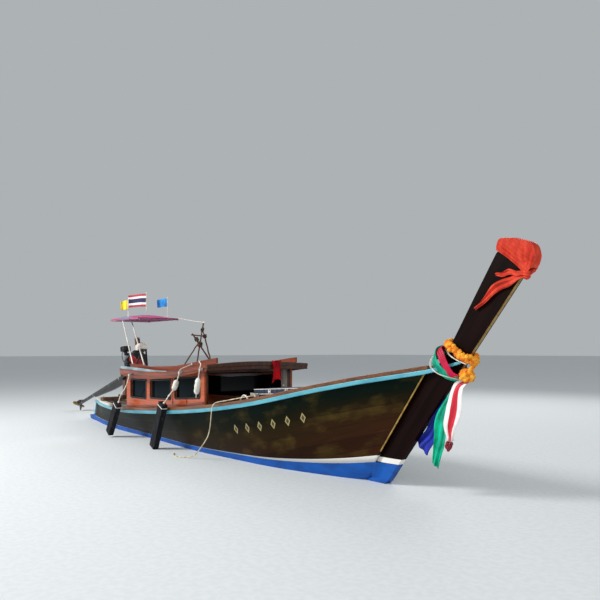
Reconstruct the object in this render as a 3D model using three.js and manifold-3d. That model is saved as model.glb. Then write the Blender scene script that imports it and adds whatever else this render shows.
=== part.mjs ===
// Longtail boat with a cabin, afloat. Millimetres, +X to the bow, +Y to port, +Z up.
// The origin is on the centreline, amidships, at the waterline.

import * as THREE from 'three';
import { mergeVertices } from 'three/addons/utils/BufferGeometryUtils.js';
import Module from 'manifold-3d';

const wasm = await Module();
wasm.setup();

// Driving dimensions
const GAP = 0.3;                 // clearance between pieces that touch
const PLANK = 40;                // hull planking, measured level
const KEEL_HALF = 58;            // half the keel's and the stem's thickness
const RAIL_HEIGHT = 55;          // light blue rub rail
const RAIL_DEPTH = 45;
const RAIL_OFF = 2.2;             // bedding between the rail and the planks
const CAP_HEIGHT = 50;           // brown capping plank above the rub rail
const CAP_OVERHANG = 15;
const CAP_WIDTH = 70;
const CABIN_HALF = 840;          // outside of the cabin walls
const WALL = 35;
const CABIN_AFT = -1650;
const CABIN_FRONT = 1260;
const ROOF_HALF = 930;
const ROOF_AFT = -1680;
const ROOF_FRONT = 1500;
const ROOF_BOARD = 20;
const ROOF_CROWN = 45;
const FASCIA = 25;
const SIDES = [['starboard', -1], ['port', 1]];

// Hull stations from the stern to the bow. The first two are the low blue tail behind the transom.
// Columns: sheer x, y, z; paint line x, y, z; keel top x, z
const TAIL_STATIONS = 2;
const STATIONS = [
  [null, null, null, -5760, 25, 62, -5735, 5],
  [null, null, null, -5430, 105, 92, -5410, -60],
  [-5170, 75, 478, -5050, 160, 115, -5000, -135],
  [-4600, 240, 492, -4500, 265, 110, -4450, -200],
  [-3900, 485, 512, -3850, 370, 103, -3850, -245],
  [-2950, 700, 518, -2950, 455, 92, -2950, -275],
  [-1800, 860, 528, -1800, 480, 78, -1800, -290],
  [-600, 920, 595, -600, 545, 75, -600, -300],
  [600, 925, 688, 600, 605, 80, 600, -300],
  [1600, 875, 798, 1600, 555, 90, 1600, -285],
  [2500, 745, 938, 2500, 487, 108, 2500, -255],
  [3350, 555, 1118, 3250, 342, 150, 3200, -200],
  [4150, 338, 1275, 3800, 200, 203, 3700, -105],
  [5030, 100, 1418, 4180, 100, 258, 4080, 60],
];
const LAST = STATIONS.length - 1;
const curve = (points) => new THREE.CatmullRomCurve3(points.map((p) => new THREE.Vector3(...p)));
const SHEER = curve(STATIONS.slice(TAIL_STATIONS).map((s) => [s[0], s[1], s[2]]));
const PAINT_LINE = curve(STATIONS.map((s) => [s[3], s[4], s[5]]));
const KEEL_TOP = curve(STATIONS.map((s) => [s[6], 0, s[7]]));

// Finishes: colour, roughness, metalness
const FINISH = {
  hull_paint: ['#33301b', 0.35, 0],
  bottom_paint: ['#0d4fb4', 0.5, 0],
  rail_paint: ['#63bcd8', 0.4, 0],
  cap_varnish: ['#7d4a2a', 0.35, 0],
  stem_varnish: ['#2a1512', 0.3, 0],
  cabin_varnish: ['#c4561f', 0.3, 0],
  dark_wood: ['#4a2716', 0.45, 0],
  deck_paint: ['#8a8478', 0.7, 0],
  tinted_glass: ['#0b1c22', 0.1, 0],
  dark_steel: ['#1d1d22', 0.5, 0.6],
  cast_iron: ['#2b2d30', 0.55, 0.5],
  bright_steel: ['#a8abad', 0.3, 0.9],
  bronze: ['#a2834a', 0.35, 0.9],
  red_paint: ['#b0201e', 0.4, 0],
  pale_tube: ['#cfcabd', 0.5, 0.1],
  white_paint: ['#e9e6e0', 0.5, 0],
  black_rubber: ['#15151a', 0.85, 0],
  navy_vinyl: ['#1c2440', 0.6, 0],
  rope: ['#cfc3a0', 0.9, 0],
  pink_cloth: ['#d0607c', 0.85, 0],
  red_cloth: ['#c50a14', 0.85, 0],
  coral_cloth: ['#e8583f', 0.85, 0],
  crimson_cloth: ['#b8123c', 0.85, 0],
  green_cloth: ['#12a587', 0.85, 0],
  violet_cloth: ['#3b35a8', 0.85, 0],
  white_cloth: ['#ece4e4', 0.85, 0],
  flag_stripes: ['#b5323c', 0.85, 0],
  yellow_cloth: ['#e3d337', 0.85, 0],
  blue_cloth: ['#1580c8', 0.85, 0],
  marigold: ['#f2a313', 0.9, 0],
};

const boat = new THREE.Group();

function add(name, finish, geometry, parent = boat) {
  const [color, roughness, metalness] = FINISH[finish];
  const mesh = new THREE.Mesh(geometry, new THREE.MeshStandardMaterial({ color, roughness, metalness }));
  mesh.name = name;
  parent.add(mesh);
  return mesh;
}

// Keeps only positions, merges shared vertices and turns the faces outwards
function closed(geometry) {
  const plain = geometry.clone();
  plain.deleteAttribute('normal');
  plain.deleteAttribute('uv');
  const merged = mergeVertices(plain, 1e-3);
  const p = merged.getAttribute('position');
  const index = merged.getIndex();
  const corner = [0, 1, 2].map(() => new THREE.Vector3());
  let volume = 0;
  for (let i = 0; i < index.count; i += 3) {
    corner.forEach((c, k) => c.fromBufferAttribute(p, index.getX(i + k)));
    volume += corner[0].dot(corner[1].clone().cross(corner[2]));
  }
  if (volume < 0) {
    for (let i = 0; i < index.count; i += 3) {
      const first = index.getX(i);
      index.setX(i, index.getX(i + 2));
      index.setX(i + 2, first);
    }
  }
  return merged;
}

const solid = (geometry) => {
  const shape = closed(geometry);
  const mesh = new wasm.Mesh({
    numProp: 3,
    vertProperties: new Float32Array(shape.getAttribute('position').array),
    triVerts: new Uint32Array(shape.getIndex().array),
  });
  return new wasm.Manifold(mesh);
};

function fromSolid(manifold) {
  const mesh = manifold.getMesh();
  const geometry = new THREE.BufferGeometry();
  geometry.setAttribute('position', new THREE.BufferAttribute(mesh.vertProperties, 3));
  geometry.setIndex(new THREE.BufferAttribute(mesh.triVerts, 1));
  return closed(geometry);
}

const joined = (...shapes) => fromSolid(shapes.map(solid).reduce((a, b) => a.add(b)));
const cut = (shape, ...holes) => fromSolid(holes.map(solid).reduce((a, b) => a.subtract(b), solid(shape)));

// A block of nx by ny by nz steps whose points are put in place by a function of three shares 0 to 1
function shaped(nx, ny, nz, place) {
  const block = new THREE.BoxGeometry(1, 1, 1, nx, ny, nz).translate(0.5, 0.5, 0.5);
  const p = block.getAttribute('position');
  for (let i = 0; i < p.count; i += 1) {
    const at = place(p.getX(i), p.getY(i), p.getZ(i));
    p.setXYZ(i, at.x, at.y, at.z);
  }
  return closed(block);
}

function box(x0, x1, y0, y1, z0, z1) {
  const block = new THREE.BoxGeometry(x1 - x0, y1 - y0, z1 - z0);
  return closed(block.translate((x0 + x1) / 2, (y0 + y1) / 2, (z0 + z1) / 2));
}

// A board whose outline is in the XZ plane, between two values of y
function board(outline, y0, y1, holes = []) {
  const shape = new THREE.Shape(outline.map(([x, z]) => new THREE.Vector2(x, z)));
  shape.holes.push(...holes);
  const body = new THREE.ExtrudeGeometry(shape, { depth: y1 - y0, bevelEnabled: false, curveSegments: 4 });
  return closed(body.rotateX(Math.PI / 2).translate(0, y1, 0));
}

function circle(radius, sides) {
  const corners = [];
  for (let i = 0; i < sides; i += 1) {
    const angle = (2 * Math.PI * i) / sides;
    corners.push(new THREE.Vector2(radius * Math.cos(angle), radius * Math.sin(angle)));
  }
  return new THREE.Shape(corners);
}

// A round bar through points: straight between two, otherwise one smooth curve
function bar(points, radius, sides = 8, steps = 0) {
  const route = points.map((p) => new THREE.Vector3(...p));
  const path = route.length === 2 ? new THREE.LineCurve3(...route) : new THREE.CatmullRomCurve3(route);
  const count = steps || (route.length === 2 ? 1 : 4 * route.length);
  return closed(new THREE.ExtrudeGeometry(circle(radius, sides), { steps: count, extrudePath: path }));
}

const straight = (sides) => ([from, to, radius]) => bar([from, to], radius, sides);
const barred = (rows, sides = 8) => joined(...rows.map(straight(sides)));

function disc(radius, length, sides, axis, x, y, z) {
  const body = new THREE.CylinderGeometry(radius, radius, length, sides);
  if (axis === 'x') body.rotateZ(Math.PI / 2);
  if (axis === 'z') body.rotateX(Math.PI / 2);
  return closed(body.translate(x, y, z));
}

const mix = (a, b, share) => a + (b - a) * share;
const along = (from, to, steps) => Array.from({ length: steps + 1 }, (_, i) => mix(from, to, i / steps));

// Straight-line reading of a table of rows [x, value]
function read(rows, x) {
  const after = rows.findIndex((row) => row[0] >= x);
  if (after === 0) return rows[0][1];
  if (after < 0) return rows[rows.length - 1][1];
  const [a, b] = [rows[after - 1], rows[after]];
  return mix(a[1], b[1], (x - a[0]) / (b[0] - a[0]));
}

// Hull surface
const BELLY = 18;                // how far the side bulges halfway up
const BOTTOM_STEPS = 3 * LAST;   // so that the bottom and the sides share their stations
const SIDE_STEPS = 3 * (LAST - TAIL_STATIONS);
const SIDE_ROWS = 5;
const linePoint = (u) => PAINT_LINE.getPoint((TAIL_STATIONS + u * (LAST - TAIL_STATIONS)) / LAST);

// A point on the port side: u from transom to stem, w from paint line to sheer, d level outwards
function skin(u, w, d) {
  const sheer = SHEER.getPoint(u);
  const point = linePoint(u).lerp(sheer, w);
  const ahead = SHEER.getTangent(u);
  const out = new THREE.Vector3(-ahead.y, ahead.x, 0).normalize();
  const bulge = BELLY * Math.sin(Math.PI * w) * Math.sin(Math.PI * u) + d;
  return point.addScaledVector(out, bulge);
}

// Reading of a table of rows [z, x, y] at a height
function readPoint(rows, z) {
  return [1, 2].map((k) => read(rows.map((row) => [row[0], row[k]]), z));
}

// Half the width inside the planking at a given x and height, read on the flat faces between stations
function insideY(x, z) {
  const rows = along(0, 1, SIDE_STEPS).map((u) => {
    const column = along(0, 1, SIDE_ROWS).map((w) => skin(u, w, -PLANK));
    return readPoint(column.map((p) => [p.z, p.x, p.y]), z);
  });
  return read(rows, x);
}

const SHEER_ROWS = along(0, 1, SIDE_STEPS).map((u) => SHEER.getPoint(u));
const sheerZ = (x) => read(SHEER_ROWS.map((p) => [p.x, p.z]), x);
const sheerY = (x) => read(SHEER_ROWS.map((p) => [p.x, p.y]), x);
const capTop = (x) => sheerZ(x) + CAP_HEIGHT;

function mirrored(point, side) {
  point.y *= side;
  return point;
}

// Hull: bottom shell, keel, sides, transom, tail step
const BOTTOM_ACROSS = 10;
const KEEL_FLAT = 0.12;          // share of the half section that lies on the keel

function bottomPoint(u, q, v) {
  const line = PAINT_LINE.getPoint(u);
  const keel = KEEL_TOP.getPoint(u);
  const inside = PLANK * v;
  const edgeY = Math.max(line.y - inside, 6);
  const keelZ = keel.z + inside * 0.9;
  const away = Math.abs(q);
  if (away <= KEEL_FLAT) {
    const y = Math.min(KEEL_HALF, edgeY * 0.9) * (away / KEEL_FLAT);
    return new THREE.Vector3(keel.x, y * Math.sign(q), Math.min(keelZ, line.z - 8));
  }
  const t = (away - KEEL_FLAT) / (1 - KEEL_FLAT);
  const start = [keel.x, Math.min(KEEL_HALF, edgeY * 0.9), Math.min(keelZ, line.z - 8)];
  const middle = [mix(keel.x, line.x, 0.4), edgeY * 0.97, mix(start[2], line.z, 0.22)];
  const end = [line.x, edgeY, line.z - GAP];
  const bend = (k) => (1 - t) ** 2 * start[k] + 2 * t * (1 - t) * middle[k] + t ** 2 * end[k];
  const [x, y, z] = [0, 1, 2].map(bend);
  return new THREE.Vector3(x, y * Math.sign(q), z);
}

add('hull_bottom', 'bottom_paint', shaped(BOTTOM_STEPS, BOTTOM_ACROSS, 1,
  (u, q, v) => bottomPoint(u, 2 * q - 1, v)));

// Keel and forefoot: a plank on edge under the bottom, carried up to the paint line at the bow
const KEEL_DEPTH = 90;
const FOREFOOT = curve([[3950, 0, -195], [4300, 0, 0], [4512, 0, 258]]);
const FOREFOOT_STEPS = 5;
const FOREFOOT_TOP = new THREE.Vector3(4148, 0, 256);
add('keel', 'bottom_paint', shaped(BOTTOM_STEPS + FOREFOOT_STEPS, 1, 1, (u, v, w) => {
  const step = Math.round(u * (BOTTOM_STEPS + FOREFOOT_STEPS));
  const share = Math.min(step / BOTTOM_STEPS, 1);
  const top = bottomPoint(share, 0, 0);
  top.z -= GAP;
  const low = top.clone();
  low.z -= KEEL_DEPTH;
  const ahead = (step - BOTTOM_STEPS) / FOREFOOT_STEPS;
  if (ahead > 0) top.lerp(FOREFOOT_TOP, ahead ** 0.8).setX(top.x + 32 * (1 - ahead));
  if (share > 0.93) {
    const along = (step - 0.93 * BOTTOM_STEPS) / (0.07 * BOTTOM_STEPS + FOREFOOT_STEPS);
    low.lerp(FOREFOOT.getPoint(along), Math.min(1, along * 3));
  }
  const half = Math.min(KEEL_HALF - 6, mix(12, KEEL_HALF, Math.min(1, share * 12)));
  const at = low.lerp(top, w);
  return new THREE.Vector3(at.x, mix(-half, half, v), at.z);
}));

for (const [name, side] of SIDES) {
  add(`hull_side_${name}`, 'hull_paint', shaped(SIDE_STEPS, 1, SIDE_ROWS, (u, v, w) => {
    const at = skin(u, w, -PLANK * v);
    at.z += GAP * (1 - w);
    return mirrored(at, side);
  }));
}

const transomHalf = (w) => mix(linePoint(0).y, SHEER.getPoint(0).y, w) - PLANK - 1;
add('transom', 'hull_paint', shaped(1, 2, 4, (u, v, w) => {
  const z = mix(linePoint(0).z + GAP, SHEER.getPoint(0).z, w);
  const x = mix(linePoint(0).x, SHEER.getPoint(0).x, w) + mix(6, 46, u);
  return new THREE.Vector3(x, mix(-1, 1, v) * (transomHalf(w) - 3), z);
}));

const STEP_BOARD = 22;
const TAIL_END = TAIL_STATIONS / LAST;
add('stern_step', 'bottom_paint', shaped(6, 2, 1, (u, v, w) => {
  const line = PAINT_LINE.getPoint(mix(0.004, TAIL_END * 0.985, u));
  return new THREE.Vector3(line.x, mix(-1, 1, v) * line.y, line.z + GAP + w * STEP_BOARD);
}));

// Rub rails run from the transom to the stem's front edge, capping planks to the stem's back edge
const RAIL_NOSE = new THREE.Vector3(5462, KEEL_HALF + GAP, 1520);
const RAIL_TIP = 22;             // how far the rail's forward end stands off the stem
const NOSE_STEPS = 3;            // steps of the rail forward of the planking
for (const [name, side] of SIDES) {
  add(`rub_rail_${name}`, 'rail_paint', shaped(SIDE_STEPS + NOSE_STEPS, 1, 1, (u, v, w) => {
    const step = Math.round(u * (SIDE_STEPS + NOSE_STEPS));
    const share = Math.min(step / SIDE_STEPS, 1);
    const top = SHEER.getPoint(share);
    const low = 1 - RAIL_HEIGHT / (top.z - linePoint(share).z);
    const at = skin(share, mix(low, 1, w), RAIL_OFF + RAIL_DEPTH * v);
    const ahead = (step - SIDE_STEPS) / NOSE_STEPS;
    if (ahead > 0) {
      at.x = mix(top.x + 4, RAIL_NOSE.x, ahead);
      at.y = v ? mix(KEEL_HALF + PLANK + RAIL_DEPTH, KEEL_HALF + RAIL_TIP, ahead) : RAIL_NOSE.y;
      at.z = mix(top.z, RAIL_NOSE.z, ahead) + mix(-RAIL_HEIGHT, 0, w) * mix(1, 0.55, ahead);
    }
    return mirrored(at, side);
  }));
  add(`gunwale_cap_${name}`, 'cap_varnish', shaped(SIDE_STEPS, 1, 1, (u, v, w) => {
    const edge = skin(u, 1, CAP_OVERHANG);
    const inner = Math.max(Math.min(edge.y - CAP_OVERHANG - CAP_WIDTH, CABIN_HALF - WALL - 5), 3);
    const out = skin(u, 1, CAP_OVERHANG + 1).sub(edge);
    const at = edge.clone().addScaledVector(out, (v - 1) * (edge.y - inner) / out.y);
    at.z += GAP + w * CAP_HEIGHT;
    return mirrored(at, side);
  }));
}

// Struts between the rub rail and the low blue tail
add('stern_strut', 'rail_paint', joined(
  bar([[-5240, -60, 440], [-5380, -50, 134]], 14, 6),
  bar([[-5240, 60, 440], [-5380, 50, 134]], 14, 6),
  box(-5400, -5360, -62, 62, 121, 138),
  box(-5262, -5222, -72, 72, 425, 458)));

// Stem post: the tall raked board at the bow, between the ends of the planks
const STEM_FOOT = [4515, 262];
const STEM_TIP = [6345, 2600];
const STEM_LEAN = Math.atan2(STEM_TIP[0] - STEM_FOOT[0], STEM_TIP[1] - STEM_FOOT[1]);
const STEM_BACK = [[1385, 5085], [1737, 5335], [2185, 5610], [2640, 5894]];   // columns z, x
const stemBack = (z) => read(STEM_BACK, z);
const stemFront = (z) => STEM_FOOT[0] + (z - STEM_FOOT[1]) * Math.tan(STEM_LEAN);
add('stem_post', 'stem_varnish', board([
  [4135, 262], [4330, 640], [4700, 1261], [4800, 1385], ...STEM_BACK.map(([z, x]) => [x, z]),
  [5960, 2690], [6120, 2700], [6290, 2665], STEM_TIP, STEM_FOOT], -KEEL_HALF, KEEL_HALF));

// Decks
const FOREDECK_DROP = 95;        // below the top of the capping planks
const DECK_BOARD = 25;
const deckZ = (x) => capTop(x) - FOREDECK_DROP;
const foredeck = shaped(14, 4, 1, (u, v, w) => {
  const x = mix(1420, 4690, u);
  const z = deckZ(x) + (w - 1) * DECK_BOARD;
  return new THREE.Vector3(x, mix(-1, 1, v) * (insideY(x, deckZ(x) - DECK_BOARD) - 4), z);
});
// A low box on the deck carries the mat
const PAD = { aft: 1840, front: 3064, half: 340, thick: 80 };
const PAD_TOP = [[PAD.aft, 1052], [PAD.front, 1128]];
const padTop = (x) => read(PAD_TOP, x);
const padFoot = (x) => Math.max(padTop(x) - PAD.thick, deckZ(x) + 24);
const deckBox = shaped(4, 1, 1, (u, v, w) => {
  const x = mix(PAD.aft - 40, PAD.front + 10, u);
  return new THREE.Vector3(x, mix(-300, 300, v), mix(deckZ(x) - 5, padFoot(x) - 7, w));
});
add('foredeck', 'deck_paint', joined(foredeck, deckBox));

const AFT_DECK_Z = 400;
add('aft_deck', 'deck_paint', shaped(10, 4, 1, (u, v, w) => {
  const x = mix(-5000, CABIN_AFT - 30, u);
  const z = AFT_DECK_Z + (w - 1) * DECK_BOARD;
  return new THREE.Vector3(x, mix(-1, 1, v) * (insideY(x, AFT_DECK_Z - DECK_BOARD) - 4), z);
}));

// The cabin floor with the bulkhead at each end that closes the spaces under the decks
const FLOOR_Z = 175;
const UNDER = DECK_BOARD + 4;
const BULKHEADS = [[CABIN_AFT - 60, AFT_DECK_Z - UNDER], [1424, deckZ(1424) - UNDER]];
const floorBoard = shaped(8, 2, 1, (u, v, w) => {
  const x = mix(BULKHEADS[0][0] + 5, BULKHEADS[1][0] + 5, u);
  const z = FLOOR_Z + (w - 1) * DECK_BOARD;
  return new THREE.Vector3(x, mix(-1, 1, v) * (insideY(x, FLOOR_Z - DECK_BOARD) - 4), z);
});
const bulkheads = BULKHEADS.map(([x, top]) => shaped(1, 2, 5, (u, v, w) => {
  const z = mix(125, top, w);
  const at = mix(x, x + 24, u);
  return new THREE.Vector3(at, mix(-1, 1, v) * (insideY(at, z) - 6), z);
}));
add('cabin_floor', 'deck_paint', joined(floorBoard, ...bulkheads));

// Cabin. Roof edge heights along the boat: columns x, z
const ROOF_EDGE = [[-1710, 1298], [-1170, 1285], [-700, 1270], [-270, 1270], [170, 1283], [540, 1303],
  [840, 1340], [1210, 1388], [1540, 1432]];
const EAVE = [[-1710, 1187], [-1220, 1149], [-746, 1139], [-274, 1150], [172, 1175], [536, 1208],
  [885, 1254], [1210, 1304], [1545, 1337]];
const roofZ = (x) => read(ROOF_EDGE, x);
const crown = (y) => ROOF_CROWN * (1 - (y / ROOF_HALF) ** 2);

// Windows: columns aft x, front x, sill z aft, sill z front, head z aft, head z front
const WINDOWS = [
  [-1460, -800, 785, 792, 1108, 1118],
  [-630, 150, 815, 830, 1118, 1158],
  [290, 1120, 858, 905, 1178, 1232],
];
const CORNER = 45;

function windowHole([aft, front, sillAft, sillFront, headAft, headFront], grow = 0) {
  const hole = new THREE.Path();
  const [a, f] = [aft - grow, front + grow];
  const low = [sillAft - grow, sillFront - grow];
  const high = [headAft + grow, headFront + grow];
  hole.moveTo(a + CORNER, low[0]);
  hole.lineTo(f - CORNER, low[1]);
  hole.quadraticCurveTo(f, low[1], f, low[1] + CORNER);
  hole.lineTo(f, high[1] - CORNER);
  hole.quadraticCurveTo(f, high[1], f - CORNER, high[1]);
  hole.lineTo(a + CORNER, high[0]);
  hole.quadraticCurveTo(a, high[0], a, high[0] - CORNER);
  hole.lineTo(a, low[0] + CORNER);
  hole.quadraticCurveTo(a, low[0], a + CORNER, low[0]);
  return hole;
}

const WALL_STEPS = 10;
const wallTop = (x) => roofZ(x) + crown(CABIN_HALF) - ROOF_BOARD - 5;
const wallOutline = [
  ...along(CABIN_AFT, CABIN_FRONT, WALL_STEPS).map((x) => [x, capTop(x) + 2]),
  ...along(CABIN_FRONT, CABIN_AFT, WALL_STEPS).map((x) => [x, wallTop(x)]),
];
const GLASS = 5;
const glassOutline = [[-1490, 765], [-700, 780], [1150, 850], [1150, 1255], [220, 1190], [-700, 1140],
  [-1490, 1135]];
const between = (side, near, far) => (side > 0 ? [near, far] : [-far, -near]);
for (const [name, side] of SIDES) {
  add(`cabin_wall_${name}`, 'cabin_varnish', board(wallOutline,
    ...between(side, CABIN_HALF - WALL, CABIN_HALF), WINDOWS.map((row) => windowHole(row))));
  const inner = CABIN_HALF - WALL - GAP;
  add(`glazing_${name}`, 'tinted_glass', board(glassOutline, ...between(side, inner - GLASS, inner)));
}

// The roof board is one arched panel; fascia boards go round its edges
add('roof_panel', 'cabin_varnish', shaped(24, 8, 1, (u, v, w) => {
  const x = mix(ROOF_AFT, ROOF_FRONT, u);
  const y = mix(-ROOF_HALF, ROOF_HALF, v);
  return new THREE.Vector3(x, y, roofZ(x) + crown(y) + (w - 1) * ROOF_BOARD);
}));
const LOWER_BOARD = 0.45;        // share of the fascia that its thinner lower board takes
const eaves = SIDES.map(([, side]) => shaped(12, 1, 3, (u, v, w) => {
  const x = mix(ROOF_AFT - GAP - FASCIA, ROOF_FRONT, u);
  const level = [0, LOWER_BOARD, LOWER_BOARD + 0.02, 1][Math.round(w * 3)];
  const depth = w < 0.5 ? FASCIA * 0.6 : FASCIA;
  const y = ROOF_HALF + GAP + v * depth;
  return new THREE.Vector3(x, y * side, mix(read(EAVE, x), roofZ(x) + 4, level));
}));
const aftFascia = shaped(1, 8, 1, (u, v, w) => {
  const y = mix(-1, 1, v) * (ROOF_HALF + FASCIA * 0.5);
  const z = mix(1190, 1300, w) + crown(Math.min(Math.abs(y), ROOF_HALF)) * mix(0.4, 0.9, w);
  return new THREE.Vector3(ROOF_AFT - GAP - u * FASCIA, y, z);
});
add('roof_fascia', 'cabin_varnish', joined(...eaves, aftFascia));
add('roof_fascia_front', 'dark_wood', shaped(1, 8, 3, (u, v, w) => {
  const y = mix(-1, 1, v) * (ROOF_HALF + FASCIA);
  const level = [0, LOWER_BOARD, LOWER_BOARD + 0.02, 1][Math.round(w * 3)];
  const depth = w < 0.5 ? FASCIA : FASCIA * 1.4;
  const z = mix(1333, 1428, level) + crown(Math.min(Math.abs(y), ROOF_HALF)) * (0.35 + 0.5 * level);
  return new THREE.Vector3(ROOF_FRONT + GAP + u * depth, y, z);
}));

// Boards on edge along both sides of the roof. Heights of their tops: columns x, z
const ROOF_RAIL_Y = 750;
const ROOF_RAIL = 28;
const ROOF_RAIL_TOP = [[-1655, 1395], [-1170, 1376], [-770, 1353], [-300, 1355], [-50, 1366], [270, 1394],
  [650, 1433], [1010, 1480], [1460, 1528]];
for (const [name, side] of SIDES) {
  add(`roof_rail_${name}`, 'cabin_varnish', shaped(14, 1, 1, (u, v, w) => {
    const x = mix(ROOF_RAIL_TOP[0][0], 1490, u);
    const foot = roofZ(x) + crown(ROOF_RAIL_Y - ROOF_RAIL / 2) + 4;
    const y = side * (ROOF_RAIL_Y + (v - 0.5) * ROOF_RAIL);
    return new THREE.Vector3(x, y, mix(foot, read(ROOF_RAIL_TOP, x), w));
  }));
}

// Inside the cabin: header beam, aft panel with an opening, a bench round three sides
const inBeam = CABIN_HALF - WALL - 8;
add('cabin_header', 'dark_wood', box(1212, 1252, -inBeam, inBeam, 1296, 1376));
const aftPanel = [[-inBeam, 600], [inBeam, 600], [inBeam, 1262], [-inBeam, 1262]];
const aftOpening = new THREE.Path([[-420, 800], [420, 800], [420, 1160], [-420, 1160]]
  .map(([y, z]) => new THREE.Vector2(y, z)));
const panelBoard = board(aftPanel, 0, 25, [aftOpening]).rotateZ(Math.PI / 2).translate(-1600, 0, 0);
add('cabin_panel_aft', 'cabin_varnish', closed(panelBoard));
const BENCH_Z = 520;
const BENCH = { front: 1250, aft: -1560, inner: 440, outer: 730, lip: 30 };
const benchSides = SIDES.flatMap(([, side]) => [
  box(BENCH.aft, BENCH.front, ...between(side, BENCH.inner, BENCH.outer), BENCH_Z - 25, BENCH_Z),
  box(BENCH.aft, BENCH.front, ...between(side, BENCH.inner, BENCH.inner + BENCH.lip), FLOOR_Z + 2, BENCH_Z)]);
add('cabin_bench', 'dark_wood', joined(...benchSides,
  box(BENCH.aft, BENCH.aft + 300, -BENCH.outer, BENCH.outer, BENCH_Z - 25, BENCH_Z)));

// One long folding mat on the foredeck
add('deck_cushion', 'navy_vinyl', shaped(4, 2, 1, (u, v, w) => {
  const x = mix(PAD.aft, PAD.front, u);
  return new THREE.Vector3(x, mix(-PAD.half, PAD.half, v), mix(padFoot(x), padTop(x), w));
}));

// Mooring cleat on the starboard capping plank, and the free rope
const CLEAT_X = 2450;
const cleatZ = capTop(CLEAT_X) + 12;
const cleatY = 30 - sheerY(CLEAT_X);
add('mooring_cleat', 'bright_steel', joined(
  box(CLEAT_X - 45, CLEAT_X + 45, cleatY - 18, cleatY + 18, cleatZ, cleatZ + 34),
  bar([[CLEAT_X - 95, cleatY, cleatZ + 44], [CLEAT_X + 95, cleatY, cleatZ + 44]], 13, 8)));
const ROPE_R = 8;
const ROPE_ROUTE = [
  [2340, -752, 992], [2280, -768, 985], [2180, -792, 966], [2060, -815, 944], [1940, -838, 922],
  [1850, -862, 905], [1775, -895, 890], [1722, -931, 868], [1695, -952, 826], [1680, -958, 770],
  [1662, -956, 690], [1642, -953, 600], [1612, -950, 490], [1560, -950, 380], [1478, -952, 290],
  [1388, -958, 205], [1290, -968, 120], [1205, -990, 50], [1120, -1022, 15], [1040, -1062, 10],
  [950, -1098, 10], [850, -1110, 10], [750, -1088, 10], [660, -1040, 10],
];
add('mooring_rope', 'rope', bar(ROPE_ROUTE, ROPE_R, 8, 72));

// Net floats: bulged along their length and threaded on a line
function netFloat(radius, half, from, to) {
  const profile = [[0, -half], [radius * 0.7, -half * 0.8], [radius, -half * 0.35], [radius, half * 0.35],
    [radius * 0.7, half * 0.8], [0, half]];
  const body = new THREE.LatheGeometry(profile.map(([r, z]) => new THREE.Vector2(r, z)), 12);
  const way = new THREE.Vector3(...to).sub(new THREE.Vector3(...from)).normalize();
  const turn = new THREE.Quaternion().setFromUnitVectors(new THREE.Vector3(0, 1, 0), way);
  const middle = new THREE.Vector3(...from).lerp(new THREE.Vector3(...to), 0.5);
  return body.applyQuaternion(turn).translate(...middle);
}

// Fenders: black rubber blocks on lines from the roof's edge, the same on both sides
// Columns: name, top x, top z, bottom x, bottom z, has a float, points of the line from the fender up
const FENDERS = [
  ['fore', 250, 780, -95, 32, true,
    [[250, 1022, 770], [450, 1016, 925], [616, 1012, 1045], [676, 1010, 1135], [735, 1003, 1235],
      [752, 998, 1318]]],
  ['aft', -1610, 672, -2010, 78, false,
    [[-1610, 1022, 660], [-1515, 1014, 814], [-1303, 1004, 986], [-1190, 998, 1151], [-1170, 998, 1225]]],
];
const FENDER = [160, 96];
const FENDER_Y = 1027;
const HOOK = 30;
const hookPlate = ([x, y, z], side) => box(x - HOOK, x + HOOK,
  ...between(side, ROOF_HALF + FASCIA + 3, y + 6), z - HOOK, z + 4);
for (const [end, topX, topZ, lowX, lowZ, hasFloat, line] of FENDERS) {
  for (const [name, side] of SIDES) {
    const length = Math.hypot(topX - lowX, topZ - lowZ);
    const block = new THREE.BoxGeometry(FENDER[0], FENDER[1], length);
    block.rotateY(Math.atan2(topX - lowX, topZ - lowZ));
    block.translate((topX + lowX) / 2, side * FENDER_Y, (topZ + lowZ) / 2);
    const points = line.map(([x, y, z]) => [x, side * y, z]);
    const floats = hasFloat ? [netFloat(46, 92, [616, side * 1012, 1045], [676, side * 1010, 1135])] : [];
    add(`fender_${end}_${name}`, 'black_rubber', joined(block, bar(points, 10, 6), ...floats,
      hookPlate(line[line.length - 1], side)));
  }
}
const HANG = [[1400, 998, 1372], [1285, 998, 930]];
add('hung_float', 'white_paint', joined(
  netFloat(46, 125, [1347, -998, 1168], [1313, -998, 1040]),
  bar(HANG.map(([x, y, z]) => [x, -y, z]), 7, 6), hookPlate(HANG[0], -1)));

// Engine post on a beam across the stern
const PIVOT_X = -3620;
const PIVOT_Z = 1113;
const BEAM_TOP = 640;
add('engine_post', 'dark_wood', joined(
  box(PIVOT_X - 75, PIVOT_X + 75, -560, 560, capTop(PIVOT_X) + 3, BEAM_TOP),
  box(PIVOT_X - 65, PIVOT_X + 65, -65, 65, BEAM_TOP - 5, 995),
  box(PIVOT_X - 110, PIVOT_X + 110, -150, 150, BEAM_TOP - 5, BEAM_TOP + 40)));

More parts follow.
